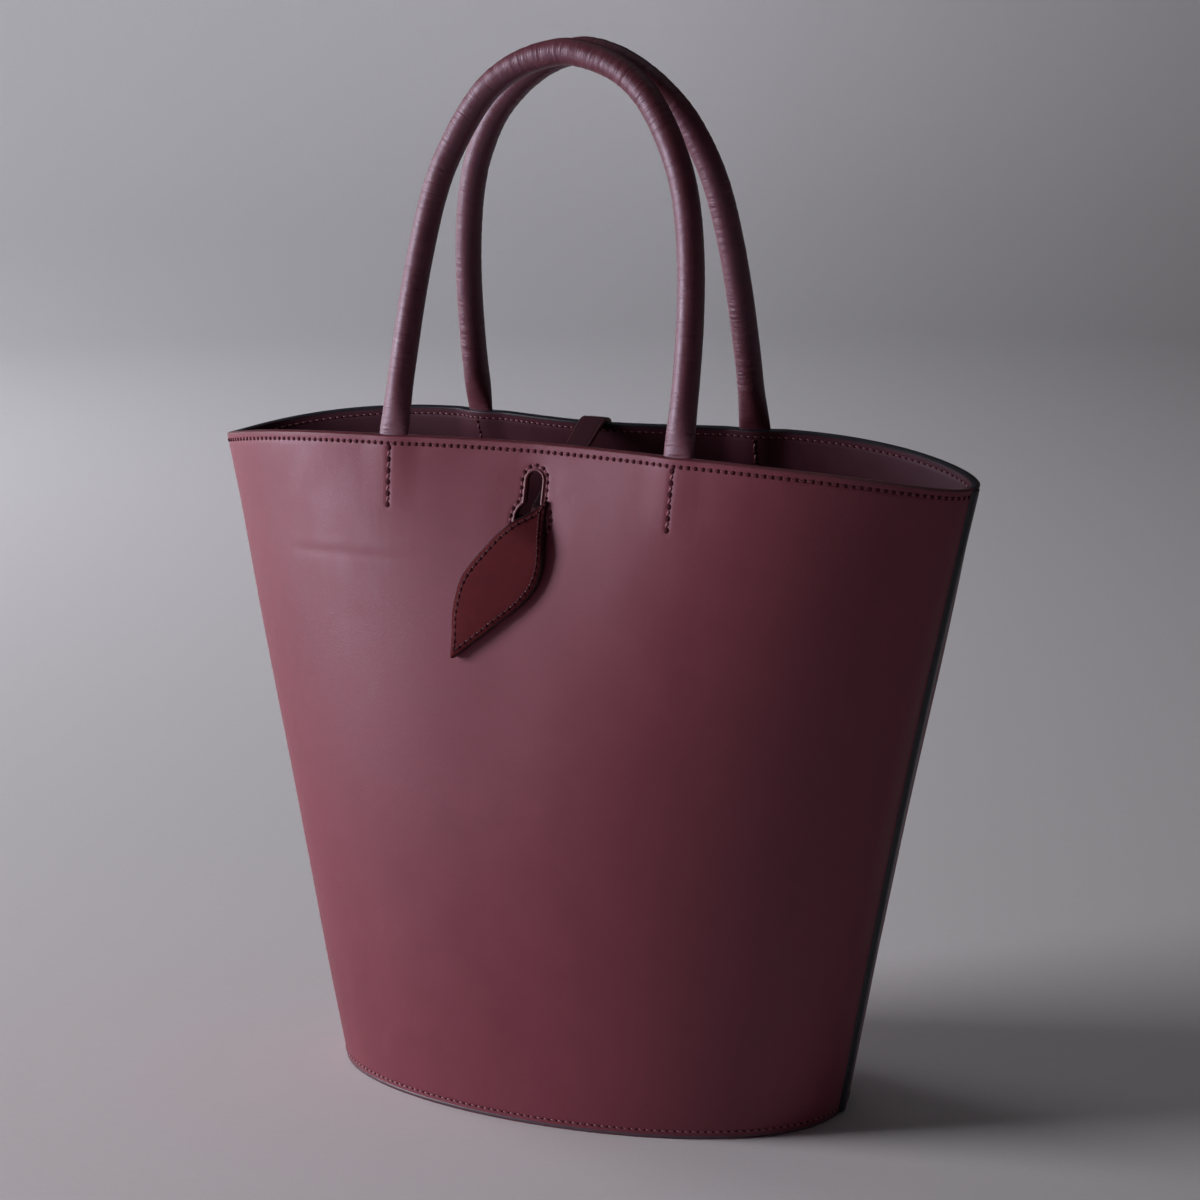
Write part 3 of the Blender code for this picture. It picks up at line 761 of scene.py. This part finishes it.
def cut_keyhole(piece):
    """Cuts the keyhole out of a finished wall."""
    cutter = bmesh.new()
    corners = keyhole_profile(fine=2)
    outline = bmesh.ops.create_circle(cutter, segments=len(corners), radius=1.0, cap_ends=True)
    for vert, (x, z) in zip(outline["verts"], corners):
        vert.co = (x, -0.09, z)
    grown = bmesh.ops.extrude_face_region(cutter, geom=cutter.faces[:])["geom"]
    moved = [vert for vert in grown if isinstance(vert, bmesh.types.BMVert)]
    bmesh.ops.translate(cutter, verts=moved, vec=(0.0, 0.07, 0.0))
    bmesh.ops.recalc_face_normals(cutter, faces=cutter.faces)
    mesh = bpy.data.meshes.new("keyhole_punch")
    cutter.to_mesh(mesh)
    cutter.free()
    punch = bpy.data.objects.new("keyhole_punch", mesh)
    bpy.context.scene.collection.objects.link(punch)
    cut = piece.modifiers.new("keyhole", "BOOLEAN")
    cut.operation = "DIFFERENCE"
    cut.solver = "EXACT"
    cut.object = punch
    settle(piece)
    bpy.data.objects.remove(punch, do_unlink=True)
    bpy.data.meshes.remove(mesh)


def make_walls():
    """The two outer panels and the two facings."""
    for side, word in SIDES:
        wall = WALLS[side]
        columns, rows = shell_grid(wall, BODY_HEIGHT)

        def on_panel(column, row, wall=wall):
            return panel_place(wall, column, row)

        def on_facing(column, row, wall=wall):
            return facing_place(wall, column, row)

        sheet = draped_sheet(columns, rows, on_panel, side == BACK)
        hides = [OUTER, INNER]
        panel = finished(sheet, word + "_leather", hides, [word + "_panel"])
        thicken(panel, PANEL_WALL, 1)
        settle(panel)
        columns, rows = shell_grid(wall, FACING_DEPTH)
        sheet = draped_sheet(columns, rows, on_facing, side == BACK)
        facing = finished(sheet, word + "_lining", [FACING], [word + "_facing"])
        thicken(facing, FACING_WALL)
        settle(facing)
        if side == FRONT:
            cut_keyhole(panel)
            cut_keyhole(facing)


def make_rim_edges():
    """One domed, painted edge over both layers of each rim. It widens round the handle feet."""
    for side, word, paint in ((FRONT, "front", WINE_EDGE), (BACK, "back", EDGE_PAINT)):
        wall = WALLS[side]
        stations = []
        for step in range(361):
            share = 0.9995 * (2 * step / 360 - 1)
            swell = wall.bulge(share, 1.0)
            outer = panel_place(wall, share, 1.0, -0.12 * MM)
            inner = facing_place(wall, share, 1.0, FACING_WALL + 0.12 * MM)
            across = inner - outer
            rise = (0.90 - 0.45 * swell) * MM
            place = (outer + inner) / 2 - UP * 0.3 * MM
            stations.append(station(place, across.normalized(), UP, across.length / 2, rise))
        finished(swept(stations, 14), word + "_rim_edge", [paint])


def make_side_edges():
    """The painted edges of the side seams, which stand out of the body's ends."""
    wall = WALLS[FRONT]
    for sign, word in ((-1, "left"), (1, "right")):
        sunk = Vector((-sign * SEAM_EDGE_SINK, SEAM_EDGE_SHIFT, 0.0))
        places = [wall.spot(sign, 0.004 + 0.9955 * step / 90) + sunk for step in range(91)]
        outwards = [Vector((sign, 0.0, 0.0))] * len(places)
        rise = SEAM_EDGE_STAND + SEAM_EDGE_SINK
        stations = bead_stations(places, outwards, SEAM_EDGE_WIDTH / 2, rise)
        finished(swept(stations, 16), word + "_seam_edge", [EDGE_PAINT])


def make_hem_edge():
    """The painted edge round the foot of the body; its lighter grey paint holds a painted
    reflection of the floor.
    """
    places = []
    outwards = []
    for side, order in ((FRONT, 1), (BACK, -1)):
        wall = WALLS[side]
        for step in range(120):
            share = order * (2 * step / 120 - 1)
            outward = wall.outward(share, 0.0)
            place = wall.spot(share, 0.0, 0.55 * MM)
            places.append(Vector((place.x, place.y, HEM_EDGE_HEIGHT / 2)))
            outwards.append(outward)
    stations = bead_stations(places, outwards, HEM_EDGE_HEIGHT / 2, 0.8 * MM, looped=True)
    finished(swept(stations, 12, looped=True), "hem_edge", [HEM_PAINT_AND_FLOOR_REFLECTION])


def make_keyhole_edge():
    """The painted edge round the keyhole."""
    placed = [on_front(x, z, -0.10 * MM) for x, z in keyhole_profile(grow=0.40 * MM, fine=3)]
    places = [place for place, _ in placed]
    outwards = [outward for _, outward in placed]
    stations = bead_stations(places, outwards, 0.62 * MM, 0.55 * MM, looped=True)
    finished(swept(stations, 10, looped=True), "keyhole_edge", [WINE_EDGE])


def make_base():
    """The oval base with its edge turned up inside the walls."""
    inset = PANEL_WALL + CLEARANCE
    tray = bmesh.new()
    ring = bmesh.ops.create_circle(tray, segments=160, radius=1.0, cap_ends=True)["verts"]

    def put(verts, spread, z):
        for index, vert in enumerate(verts):
            half = len(verts) // 2
            side, order = (FRONT, 1) if index < half else (BACK, -1)
            share = order * (2 * (index % half) / half - 1)
            place = WALLS[side].spot(share, z / BODY_HEIGHT, inset + spread)
            vert.co = (place.x, place.y, z)

    put(ring, BASE_CORNER, 0.0)
    for spread, z in ((0.4 * MM, 0.4 * MM), (0.0, BASE_CORNER), (0.0, BASE_FLANGE)):
        ring = extruded(tray, ring)
        put(ring, spread, z)
    bmesh.ops.recalc_face_normals(tray, faces=tray.faces)
    floor_face = min(tray.faces, key=lambda face: face.calc_center_median().z)
    if floor_face.normal.z > 0:
        bmesh.ops.reverse_faces(tray, faces=tray.faces)
    base = finished(tray, "base_leather", [FACING], ["base_panel"])
    thicken(base, BASE_WALL)
    settle(base)


Stop = namedtuple("Stop", "run x y z")


def curve_through(points, count):
    """Places on a smooth curve through points, and where each lies between them."""
    stops = [Stop(0.0, *points[0])]
    for first, second in zip(points, points[1:]):
        stops.append(Stop(stops[-1].run + (second - first).length, *second))
    result = []
    index = 0
    for step in range(count + 1):
        run = stops[-1].run * step / count
        while index < len(stops) - 2 and stops[index + 1].run < run:
            index += 1
        share = (run - stops[index].run) / (stops[index + 1].run - stops[index].run)
        result.append((Vector(smooth_row(stops, run)[1:]), index + share))
    return result


def leg_width(rise):
    grown = min(rise / HANDLE_ROUNDING, 1.0)
    return FOOT_WIDTH + (HANDLE_DIAMETER - FOOT_WIDTH) * ease(grown, 0.0, 1.0)


def leg_thickness(rise):
    foot_wall = CLEARANCE + PANEL_BULGE + FACING_BULGE - 2 * TAB_CLEARANCE
    grown = min(rise / HANDLE_ROUNDING, 1.0)
    return foot_wall + (HANDLE_DIAMETER - foot_wall) * (1 - (1 - grown) ** 2)


def handle_stations(wall):
    """Centre, outward way, width, thickness and share of the rise, from left tab to right one."""
    foot_inset = PANEL_WALL + CLEARANCE / 2 + (FACING_BULGE - PANEL_BULGE) / 2
    feet = {sign: wall.spot(sign * wall.handle_share, 1.0, foot_inset) for sign in (-1, 1)}
    middle = (feet[-1] + feet[1]) / 2
    half_spread = (feet[1] - feet[-1]) / 2
    lean = LEAN[wall.side]
    up = Vector((0.0, -wall.side * math.sin(lean), math.cos(lean)))
    away = Vector((0.0, wall.side * math.cos(lean), math.sin(lean)))
    halves = {}
    for sign in (-1, 1):
        stations = []
        for share in TAB_STATIONS:
            height = below_rim(share * TAB_LENGTH)
            swell = wall.bulge(wall.handle_share, height)
            inset = PANEL_WALL + CLEARANCE / 2 + (FACING_BULGE - PANEL_BULGE) * swell / 2
            wide = TAB_WIDTH + (FOOT_WIDTH - TAB_WIDTH) * (1 - share)
            thick = CLEARANCE + (PANEL_BULGE + FACING_BULGE) * swell - 2 * TAB_CLEARANCE
            along = sign * wall.handle_share
            outward = wall.outward(along, height)
            stations.append((wall.spot(along, height, inset), outward, wide, thick, -share))
        at_foot = wall.outward(sign * wall.handle_share, 1.0)
        for rise in LEG_STATIONS:
            grown = min(rise / HANDLE_ROUNDING, 1.0)
            eased = ease(grown, 0.0, 1.0)
            near_top = ease(rise, 0.80, 0.94) * (1 - max((rise - 0.94) / 0.06, 0.0) ** 2)
            spread = smooth_row(ARCH, rise).spread + SHOULDER[wall.side] * near_top
            place = middle + half_spread * sign * spread + up * rise * HANDLE_RISE[wall.side]
            place.y += LEAN_IN[wall.side] * math.sin(math.pi * rise)
            outward = at_foot.lerp(away, eased)
            stations.append((place, outward, leg_width(rise), leg_thickness(rise), rise))
        halves[sign] = stations
    top = (middle + up * HANDLE_RISE[wall.side], away, HANDLE_DIAMETER, HANDLE_DIAMETER, 1.0)
    return halves[-1] + [top] + halves[1][::-1]


def rolled_section(side, place, across, outward, wide, thick, run):
    """A section of a handle, creased most on the inner side of the bend near the top."""
    high_up = ease(place.z, 300 * MM, 400 * MM)
    inward = side * (1 if across.x > 0 else -1)

    def section(point):
        turn = math.atan2(point.y, point.x)
        right, front = math.cos(turn), math.sin(turn)
        inner = 0.5 + 0.5 * inward * right
        fold = noise.noise(Vector((run / (1.5 * MM), right * 0.5, front * 0.5 + side * 5)))
        lump = noise.noise(Vector((run / (14 * MM), right * 0.6, front * 0.6 + side * 9)))
        crease = (fold - 0.35) * (0.04 + 0.10 * high_up * inner) * MM + lump * 0.07 * MM
        grown = 1 + crease * min(thick / HANDLE_DIAMETER, 1.0) / (HANDLE_DIAMETER / 2)
        aside = across * point.x * wide / 2
        return place + (aside + outward * point.y * thick / 2) * grown

    return section


def make_handle(side, word):
    """A rolled handle, creased across where it bends."""
    coarse = handle_stations(WALLS[side])
    placed = curve_through([row[0] for row in coarse], 620)
    stations = []
    last = len(placed) - 1
    total = sum((b - a).length for (a, _), (b, _) in zip(placed, placed[1:]))
    for index, (place, at) in enumerate(placed):
        row = int(min(at, len(coarse) - 2))
        share = at - row
        mixed = [a + (b - a) * share for a, b in zip(coarse[row][1:], coarse[row + 1][1:])]
        outward, wide, thick, rise = mixed
        if rise > 0:
            wide = leg_width(rise)
            thick = leg_thickness(rise)
        tangent = placed[min(index + 1, last)][0] - placed[max(index - 1, 0)][0]
        tangent.normalize()
        outward = (outward - tangent * outward.dot(tangent)).normalized()
        across = tangent.cross(outward)
        run = index / last * total
        stations.append(rolled_section(side, place, across, outward, wide, thick, run))
    tube = swept(stations, 28, step=total / last)
    finished(tube, word + "_rolled_handle", [ROLLED], [word + "_handle"])


def leaf_spot(along, across, lift=0.0):
    """A place on the leaf's middle layer: along from neck to tip, across -1 to 1. Its pointed
    top leans back into the keyhole, and its right side stands forward of its left one."""
    wall = WALLS[FRONT]
    blade = smooth_row(LEAF, along)
    down = Vector((-math.sin(LEAF_HANG), 0.0, -math.cos(LEAF_HANG)))
    side_way = Vector((math.cos(LEAF_HANG), 0.0, -math.sin(LEAF_HANG)))
    flat = NECK + down * along * LEAF_LENGTH
    height = flat.z / BODY_HEIGHT
    surface = wall.spot(wall.share_at_x(flat.x, height), height)
    stand = LEAF_STAND_TOP + (LEAF_STAND_TIP - LEAF_STAND_TOP) * along
    aside = (-blade.left + (blade.left + blade.right) * (across + 1) / 2) * LEAF_WIDTH
    aside_way = side_way * math.cos(LEAF_TURN) + Vector((0.0, -math.sin(LEAF_TURN), 0.0))
    cupped = 0.5 * MM * across**2 * ease(along, 0.0, 0.4)
    place = Vector((flat.x, surface.y - stand - lift + cupped, flat.z)) + aside_way * aside
    back = (1 - ease(along, -0.13, 0.16)) * 4.4 * MM
    return place + Vector((-0.5, 1.0, -0.19)) * back


def neck_place():
    wall = WALLS[FRONT]
    height = below_rim(NECK_DEPTH)
    share = wall.share_at_x(STRAP_FRONT_X, height)
    layers = PANEL_WALL + CLEARANCE + FACING_WALL
    return wall.spot(share, height, layers / 2)


NECK = neck_place()


def leaf_outline(inset, steps, lift):
    """Places round the leaf this far inside its edge, from the neck round the tip and back."""
    places = []
    for sign, order in ((1, range(steps + 1)), (-1, range(steps - 1, -1, -1))):
        for step in order:
            along = LEAF[0].along + (1 - LEAF[0].along) * step / steps
            along = max(along, LEAF[0].along + inset * 1.2 / LEAF_LENGTH)
            along = min(along, 1 - inset * 1.9 / LEAF_LENGTH)
            blade = smooth_row(LEAF, along)
            half = (blade.left + blade.right) / 2 * LEAF_WIDTH
            places.append(leaf_spot(along, sign * max(half - inset, 0.0) / max(half, 1e-6), lift))
    return places


def make_leaf():
    """The leaf: two layers of hide, sewn together near their painted edge."""
    rows = [LEAF[0].along + (1 - LEAF[0].along) * step / 90 for step in range(91)]
    columns = [-1 + 2 * step / 26 for step in range(27)]
    half = LEAF_WALL / 2
    for word, lift in (("upper", half), ("lower", 0.03 * MM - half + LEAF_LAYER)):

        def on_leaf(column, row, lift=lift):
            puff = 0.25 * MM * ease(1 - abs(column), 0.0, 0.30)
            puff *= ease(row, -0.02, 0.2) * (1 - ease(row, 0.8, 1.0))
            return leaf_spot(row, column, lift + (puff if lift == half else 0.0))

        sheet = draped_sheet(columns, rows, on_leaf, True)
        replaced = ["closure_strap"] if word == "upper" else ()
        layer = finished(sheet, f"leaf_{word}_layer", [LEAF_HIDE], replaced)
        thicken(layer, LEAF_LAYER)
        settle(layer)
    places = leaf_outline(0.0, 90, 0.0)
    outwards = [Vector((0.0, -1.0, 0.0))] * len(places)
    stations = bead_stations(places, outwards, 0.45 * MM, half + 0.04 * MM)
    finished(swept(stations, 12), "leaf_edge", [DARK_EDGE])
    forward = Vector((-math.sin(LEAF_TURN), -math.cos(LEAF_TURN), 0.0))
    line = [(place, forward) for place in leaf_outline(1.8 * MM, 90, half + 0.10 * MM)]
    sewing(
        "leaf", [line], LEAF_STITCH_PITCH, LEAF_THREAD,
        width=0.6 * MM, hole_width=1.5 * MM,
    )


def strap_line():
    """Centre, width way and half width of the strap from its anchor to the keyhole."""
    back = WALLS[BACK]
    half = STRAP_WIDTH / 2
    neck = STRAP_NECK / 2
    rest = STRAP_CLEARANCE + STRAP_WALL / 2
    layers = PANEL_WALL + CLEARANCE + FACING_WALL
    back_share = back.share_at_x(STRAP_BACK_X, 1.0)
    backward = back.outward(back_share, 1.0)
    side_way = Vector((backward.y, -backward.x, 0.0))
    line = []
    for share in (1.0, 0.66, 0.33, 0.10):
        line.append((back.spot(back_share, below_rim(share * STRAP_ANCHOR), -rest), side_way, half))
    crown = back.spot(back_share, 1.0, layers / 2)
    bend = layers / 2 + rest
    for turn in (0, 35, 70, 105, 135):
        swing = math.radians(turn)
        shift = backward * math.cos(swing) * bend + UP * math.sin(swing) * rest
        line.append((crown + shift, side_way, half))
    start = line[-1][0]
    for share in (0.12, 0.28, 0.45, 0.62, 0.78, 0.90, 1.0):
        turned = side_way.lerp(Vector((1.0, 0.0, 0.0)), share)
        line.append((start.lerp(NECK, share), turned, half + (neck - half) * share))
    line[-1] = (line[-1][0], Vector((1.0, 0.0, 0.0)), neck * 0.75)
    hanging = Vector((math.cos(LEAF_HANG), 0.0, -math.sin(LEAF_HANG)))
    line.append((leaf_spot(0.03, 0.1), hanging, neck * 0.6))
    return line


def make_strap():
    """The closing strap: hide folded round a filler, sewn along both edges."""
    coarse = strap_line()
    placed = curve_through([row[0] for row in coarse], 150)
    body = []
    frames = []
    for index, (place, at) in enumerate(placed):
        first = int(min(at, len(coarse) - 2))
        share = at - first
        side_way = coarse[first][1].lerp(coarse[first + 1][1], share)
        half = coarse[first][2] + (coarse[first + 1][2] - coarse[first][2]) * share
        ahead = placed[min(index + 1, len(placed) - 1)][0]
        behind = placed[max(index - 1, 0)][0]
        tangent = (ahead - behind).normalized()
        across = (side_way - tangent * side_way.dot(tangent)).normalized()
        top = across.cross(tangent)
        frames.append((place, across, top, half))

        def section(point, place=place, across=across, top=top, half=half):
            """A flat bar with rounded corners and a low ridge down its middle."""
            square = 4.0
            size = (abs(point.x) ** square + abs(point.y) ** square) ** (-1 / square)
            x = point.x * size
            y = point.y * size
            swell = 0.5 * MM * (hump(x, 0.30) - 0.3 * hump(abs(x) - 0.62, 0.14)) if y > 0 else 0.0
            return place + across * x * half + top * (y * STRAP_WALL / 2 + swell)

        body.append(section)
    finished(swept(body, 32), "strap_leather", [FACING])
    lines = []
    for sign, word in ((-1, "left"), (1, "right")):
        edge = []
        line = []
        for place, across, top, half in frames:
            rim = place + across * sign * (half - 0.2 * MM)
            edge.append(station(rim, across, top, 0.55 * MM, 0.85 * MM))
            sewn = place + across * sign * (half - 1.9 * MM)
            line.append((sewn + top * (STRAP_WALL / 2 - 0.05 * MM), top))
        finished(swept(edge, 10), f"strap_{word}_edge", [WINE_EDGE])
        lines.append(line)
    sewing("strap", lines, LEAF_STITCH_PITCH, LEAF_THREAD, width=0.5 * MM)


def rim_line(wall, inset_side):
    """Places for the stitches below a rim, on the outside or on the inside."""
    line = []
    height = below_rim(STITCH_INSET)
    for step in range(401):
        along = (-1 + 2 * step / 400) * 0.985
        outward = wall.outward(along, height)
        if inset_side:
            line.append((facing_place(wall, along, height, FACING_WALL - 0.02 * MM), -outward))
        else:
            line.append((panel_place(wall, along, height, 0.04 * MM), outward))
    return line


def handle_lines(wall, inside):
    """Places for the stitches that hold the handle ends."""
    lines = []
    for sign in (-1, 1):
        along = sign * wall.handle_share
        line = []
        for step in range(21):
            depth = HANDLE_SEAM_TOP + (HANDLE_SEAM_END - HANDLE_SEAM_TOP) * step / 20
            height = below_rim(depth)
            outward = wall.outward(along, height)
            if inside:
                line.append((facing_place(wall, along, height, FACING_WALL - 0.02 * MM), -outward))
            else:
                line.append((panel_place(wall, along, height, -0.02 * MM), outward))
        lines.append(line)
    return lines


def sew_everything():
    for side, word in SIDES:
        wall = WALLS[side]
        sewing(word + "_rim", [rim_line(wall, False)], STITCH_PITCH, THREAD_WITH_PAINTED_HIGHLIGHT)
        sewing(
            word + "_rim_inside", [rim_line(wall, True)], STITCH_PITCH,
            INSIDE_THREAD_WITH_PAINTED_HIGHLIGHT, width=0.85 * MM, bite=0.68, hole_width=1.0 * MM,
        )
        sewing(
            word + "_handle_seams", handle_lines(wall, False), HANDLE_STITCH_PITCH,
            THREAD_WITH_PAINTED_HIGHLIGHT, width=1.0 * MM, slant=0.45, hole_width=SEAM_HOLE_WIDTH,
        )
        sewing(
            word + "_handle_seams_inside", handle_lines(wall, True), HANDLE_STITCH_PITCH,
            INSIDE_THREAD_WITH_PAINTED_HIGHLIGHT, width=1.0 * MM, bite=0.66,
        )
        line = []
        height = HEM_STITCH_HEIGHT / BODY_HEIGHT
        for step in range(301):
            along = (-1 + 2 * step / 300) * 0.99
            place = panel_place(wall, along, height, 0.02 * MM)
            line.append((place, wall.outward(along, height)))
        sewing(
            word + "_hem", [line], STITCH_PITCH, THREAD_WITH_PAINTED_HIGHLIGHT,
            width=0.9 * MM, bite=0.66, hole_width=0.8 * MM,
        )
    profile = keyhole_profile(grow=KEYHOLE_STITCH_GAP, fine=3)
    line = [on_front(x, z, 0.02 * MM) for x, z in profile]
    sewing("keyhole", [line + line[:1]], STITCH_PITCH, THREAD_WITH_PAINTED_HIGHLIGHT)


make_walls()
make_base()
make_rim_edges()
make_side_edges()
make_hem_edge()
make_keyhole_edge()
make_handle(FRONT, "front")
make_handle(BACK, "back")
make_leaf()
make_strap()
sew_everything()


# ---- floor, light and camera


def make_floor():
    """A pale paper sweep that curves up all round, far behind the bag, with painted shade greying
    it towards the right of the picture.
    """
    bowl = bmesh.new()
    profile = [(0.0, 0.0), (2.4, 0.0), (2.9, 0.07), (3.3, 0.30), (3.5, 0.70), (3.55, 1.0)]
    corners = [bowl.verts.new((x, 0.0, z - 0.0002)) for x, z in profile]
    edges = [bowl.edges.new(pair) for pair in zip(corners, corners[1:])]
    geometry = corners + edges
    bmesh.ops.spin(
        bowl, geom=geometry, cent=(0, 0, 0), axis=UP, angle=2 * math.pi, steps=96, use_merge=True
    )
    bmesh.ops.remove_doubles(bowl, verts=bowl.verts, dist=1e-5)
    bmesh.ops.recalc_face_normals(bowl, faces=bowl.faces)
    mesh = bpy.data.meshes.new("paper_sweep")
    bowl.to_mesh(mesh)
    bowl.free()
    mesh.shade_smooth()
    sweep = bpy.data.objects.new("paper_sweep", mesh)
    bpy.context.scene.collection.objects.link(sweep)
    paper = bpy.data.materials.new("pale_matt_paper")
    paper.use_nodes = True
    shader = paper.node_tree.nodes["Principled BSDF"]
    place = node(paper, "TexCoord", {}, {}).outputs["Object"]
    fibre = node(paper, "TexNoise", {"Scale": 300.0, "Detail": 3.0}, {"Vector": place})
    ramp = two_tones(paper, fibre.outputs["Fac"], "#EBE8EC", "#F0EDF1", 0.0)
    # Painted shade: the paper is coloured greyer towards the right of the picture, where the
    # window's light falls off, so it also bounces less light onto the bag's right side.
    rightward = (math.cos(CAMERA_AZIMUTH), math.sin(CAMERA_AZIMUTH), 0.0)
    aside = node(paper, "VectorMath", {"operation": "DOT_PRODUCT", 1: rightward}, {0: place})
    reach = {"From Min": 0.1, "From Max": 0.9}
    far = node(paper, "MapRange", reach, {"Value": aside.outputs["Value"]})
    blend = {"Factor": far.outputs["Result"], 6: ramp.outputs["Color"]}
    paper_and_painted_shade = node(paper, "Mix", {"data_type": "RGBA"}, blend)
    paper_and_painted_shade.inputs[7].default_value = linear("#BEBBBD")
    paper.node_tree.links.new(shader.inputs["Base Color"], paper_and_painted_shade.outputs[2])
    shader.inputs["Roughness"].default_value = 0.9
    mesh.materials.append(paper)


def make_light(name, direction, distance, width, height, power, colour):
    """A soft area light that faces the bag from a direction."""
    data = bpy.data.lights.new(name, "AREA")
    data.shape = "RECTANGLE"
    data.size = width
    data.size_y = height
    data.energy = power
    data.color = linear(colour)[:3]
    lamp = bpy.data.objects.new(name, data)
    bpy.context.scene.collection.objects.link(lamp)
    way = Vector(direction).normalized()
    lamp.location = Vector((0.0, 0.0, 0.15)) + way * distance
    lamp.rotation_euler = way.to_track_quat("Z", "Y").to_euler()
    lamp.visible_camera = False
    return lamp


def from_left(angle, rise):
    """A direction this far to the left of straight ahead, and this far above the floor."""
    turn = math.radians(angle)
    lift = math.radians(rise)
    return (-math.sin(turn) * math.cos(lift), -math.cos(turn) * math.cos(lift), math.sin(lift))


def make_camera():
    azimuth = CAMERA_AZIMUTH
    level = math.cos(CAMERA_ELEVATION)
    ahead = Vector((-math.sin(azimuth) * level, math.cos(azimuth) * level, 0.0))
    ahead.z = -math.sin(CAMERA_ELEVATION)
    right = Vector((math.cos(azimuth), math.sin(azimuth), 0.0))
    up = right.cross(ahead)
    turned_right = right * math.cos(CAMERA_ROLL) + up * math.sin(CAMERA_ROLL)
    turned_up = up * math.cos(CAMERA_ROLL) - right * math.sin(CAMERA_ROLL)
    data = bpy.data.cameras.new("camera")
    data.lens = CAMERA_LENS
    data.sensor_width = 36.0
    data.shift_x, data.shift_y = CAMERA_SHIFT
    camera = bpy.data.objects.new("camera", data)
    bpy.context.scene.collection.objects.link(camera)
    matrix = Matrix.Identity(4)
    matrix.col[0].xyz = turned_right
    matrix.col[1].xyz = turned_up
    matrix.col[2].xyz = -ahead
    matrix.col[3].xyz = CAMERA_AIM - ahead * CAMERA_DISTANCE
    camera.matrix_world = matrix
    bpy.context.scene.camera = camera


make_floor()
make_camera()
make_light("window", from_left(61.5, 12.5), 2.5, 1.05, 1.45, 64.0, "#FCFAFE")
make_light("side_window", from_left(100, 9), 2.5, 0.9, 1.5, 14.0, "#FCFAFE")
make_light("ceiling_bounce", (0.0, 0.25, 1.0), 2.2, 2.2, 2.2, 3.0, "#FAF6F6")
wash = make_light("backdrop_wash", (-2.3, 0.5, 0.75), 2.47, 1.5, 1.1, 17.0, "#F4FAFF")
wash.rotation_euler = Vector((-0.2, -0.95, 0.2)).to_track_quat("Z", "Y").to_euler()
world = bpy.data.worlds.new("room")
world.use_nodes = True
world.node_tree.nodes["Background"].inputs["Color"].default_value = linear("#C8C8D0")
world.node_tree.nodes["Background"].inputs["Strength"].default_value = 0.006
bpy.context.scene.world = world
bpy.context.scene.view_settings.view_transform = "Standard"
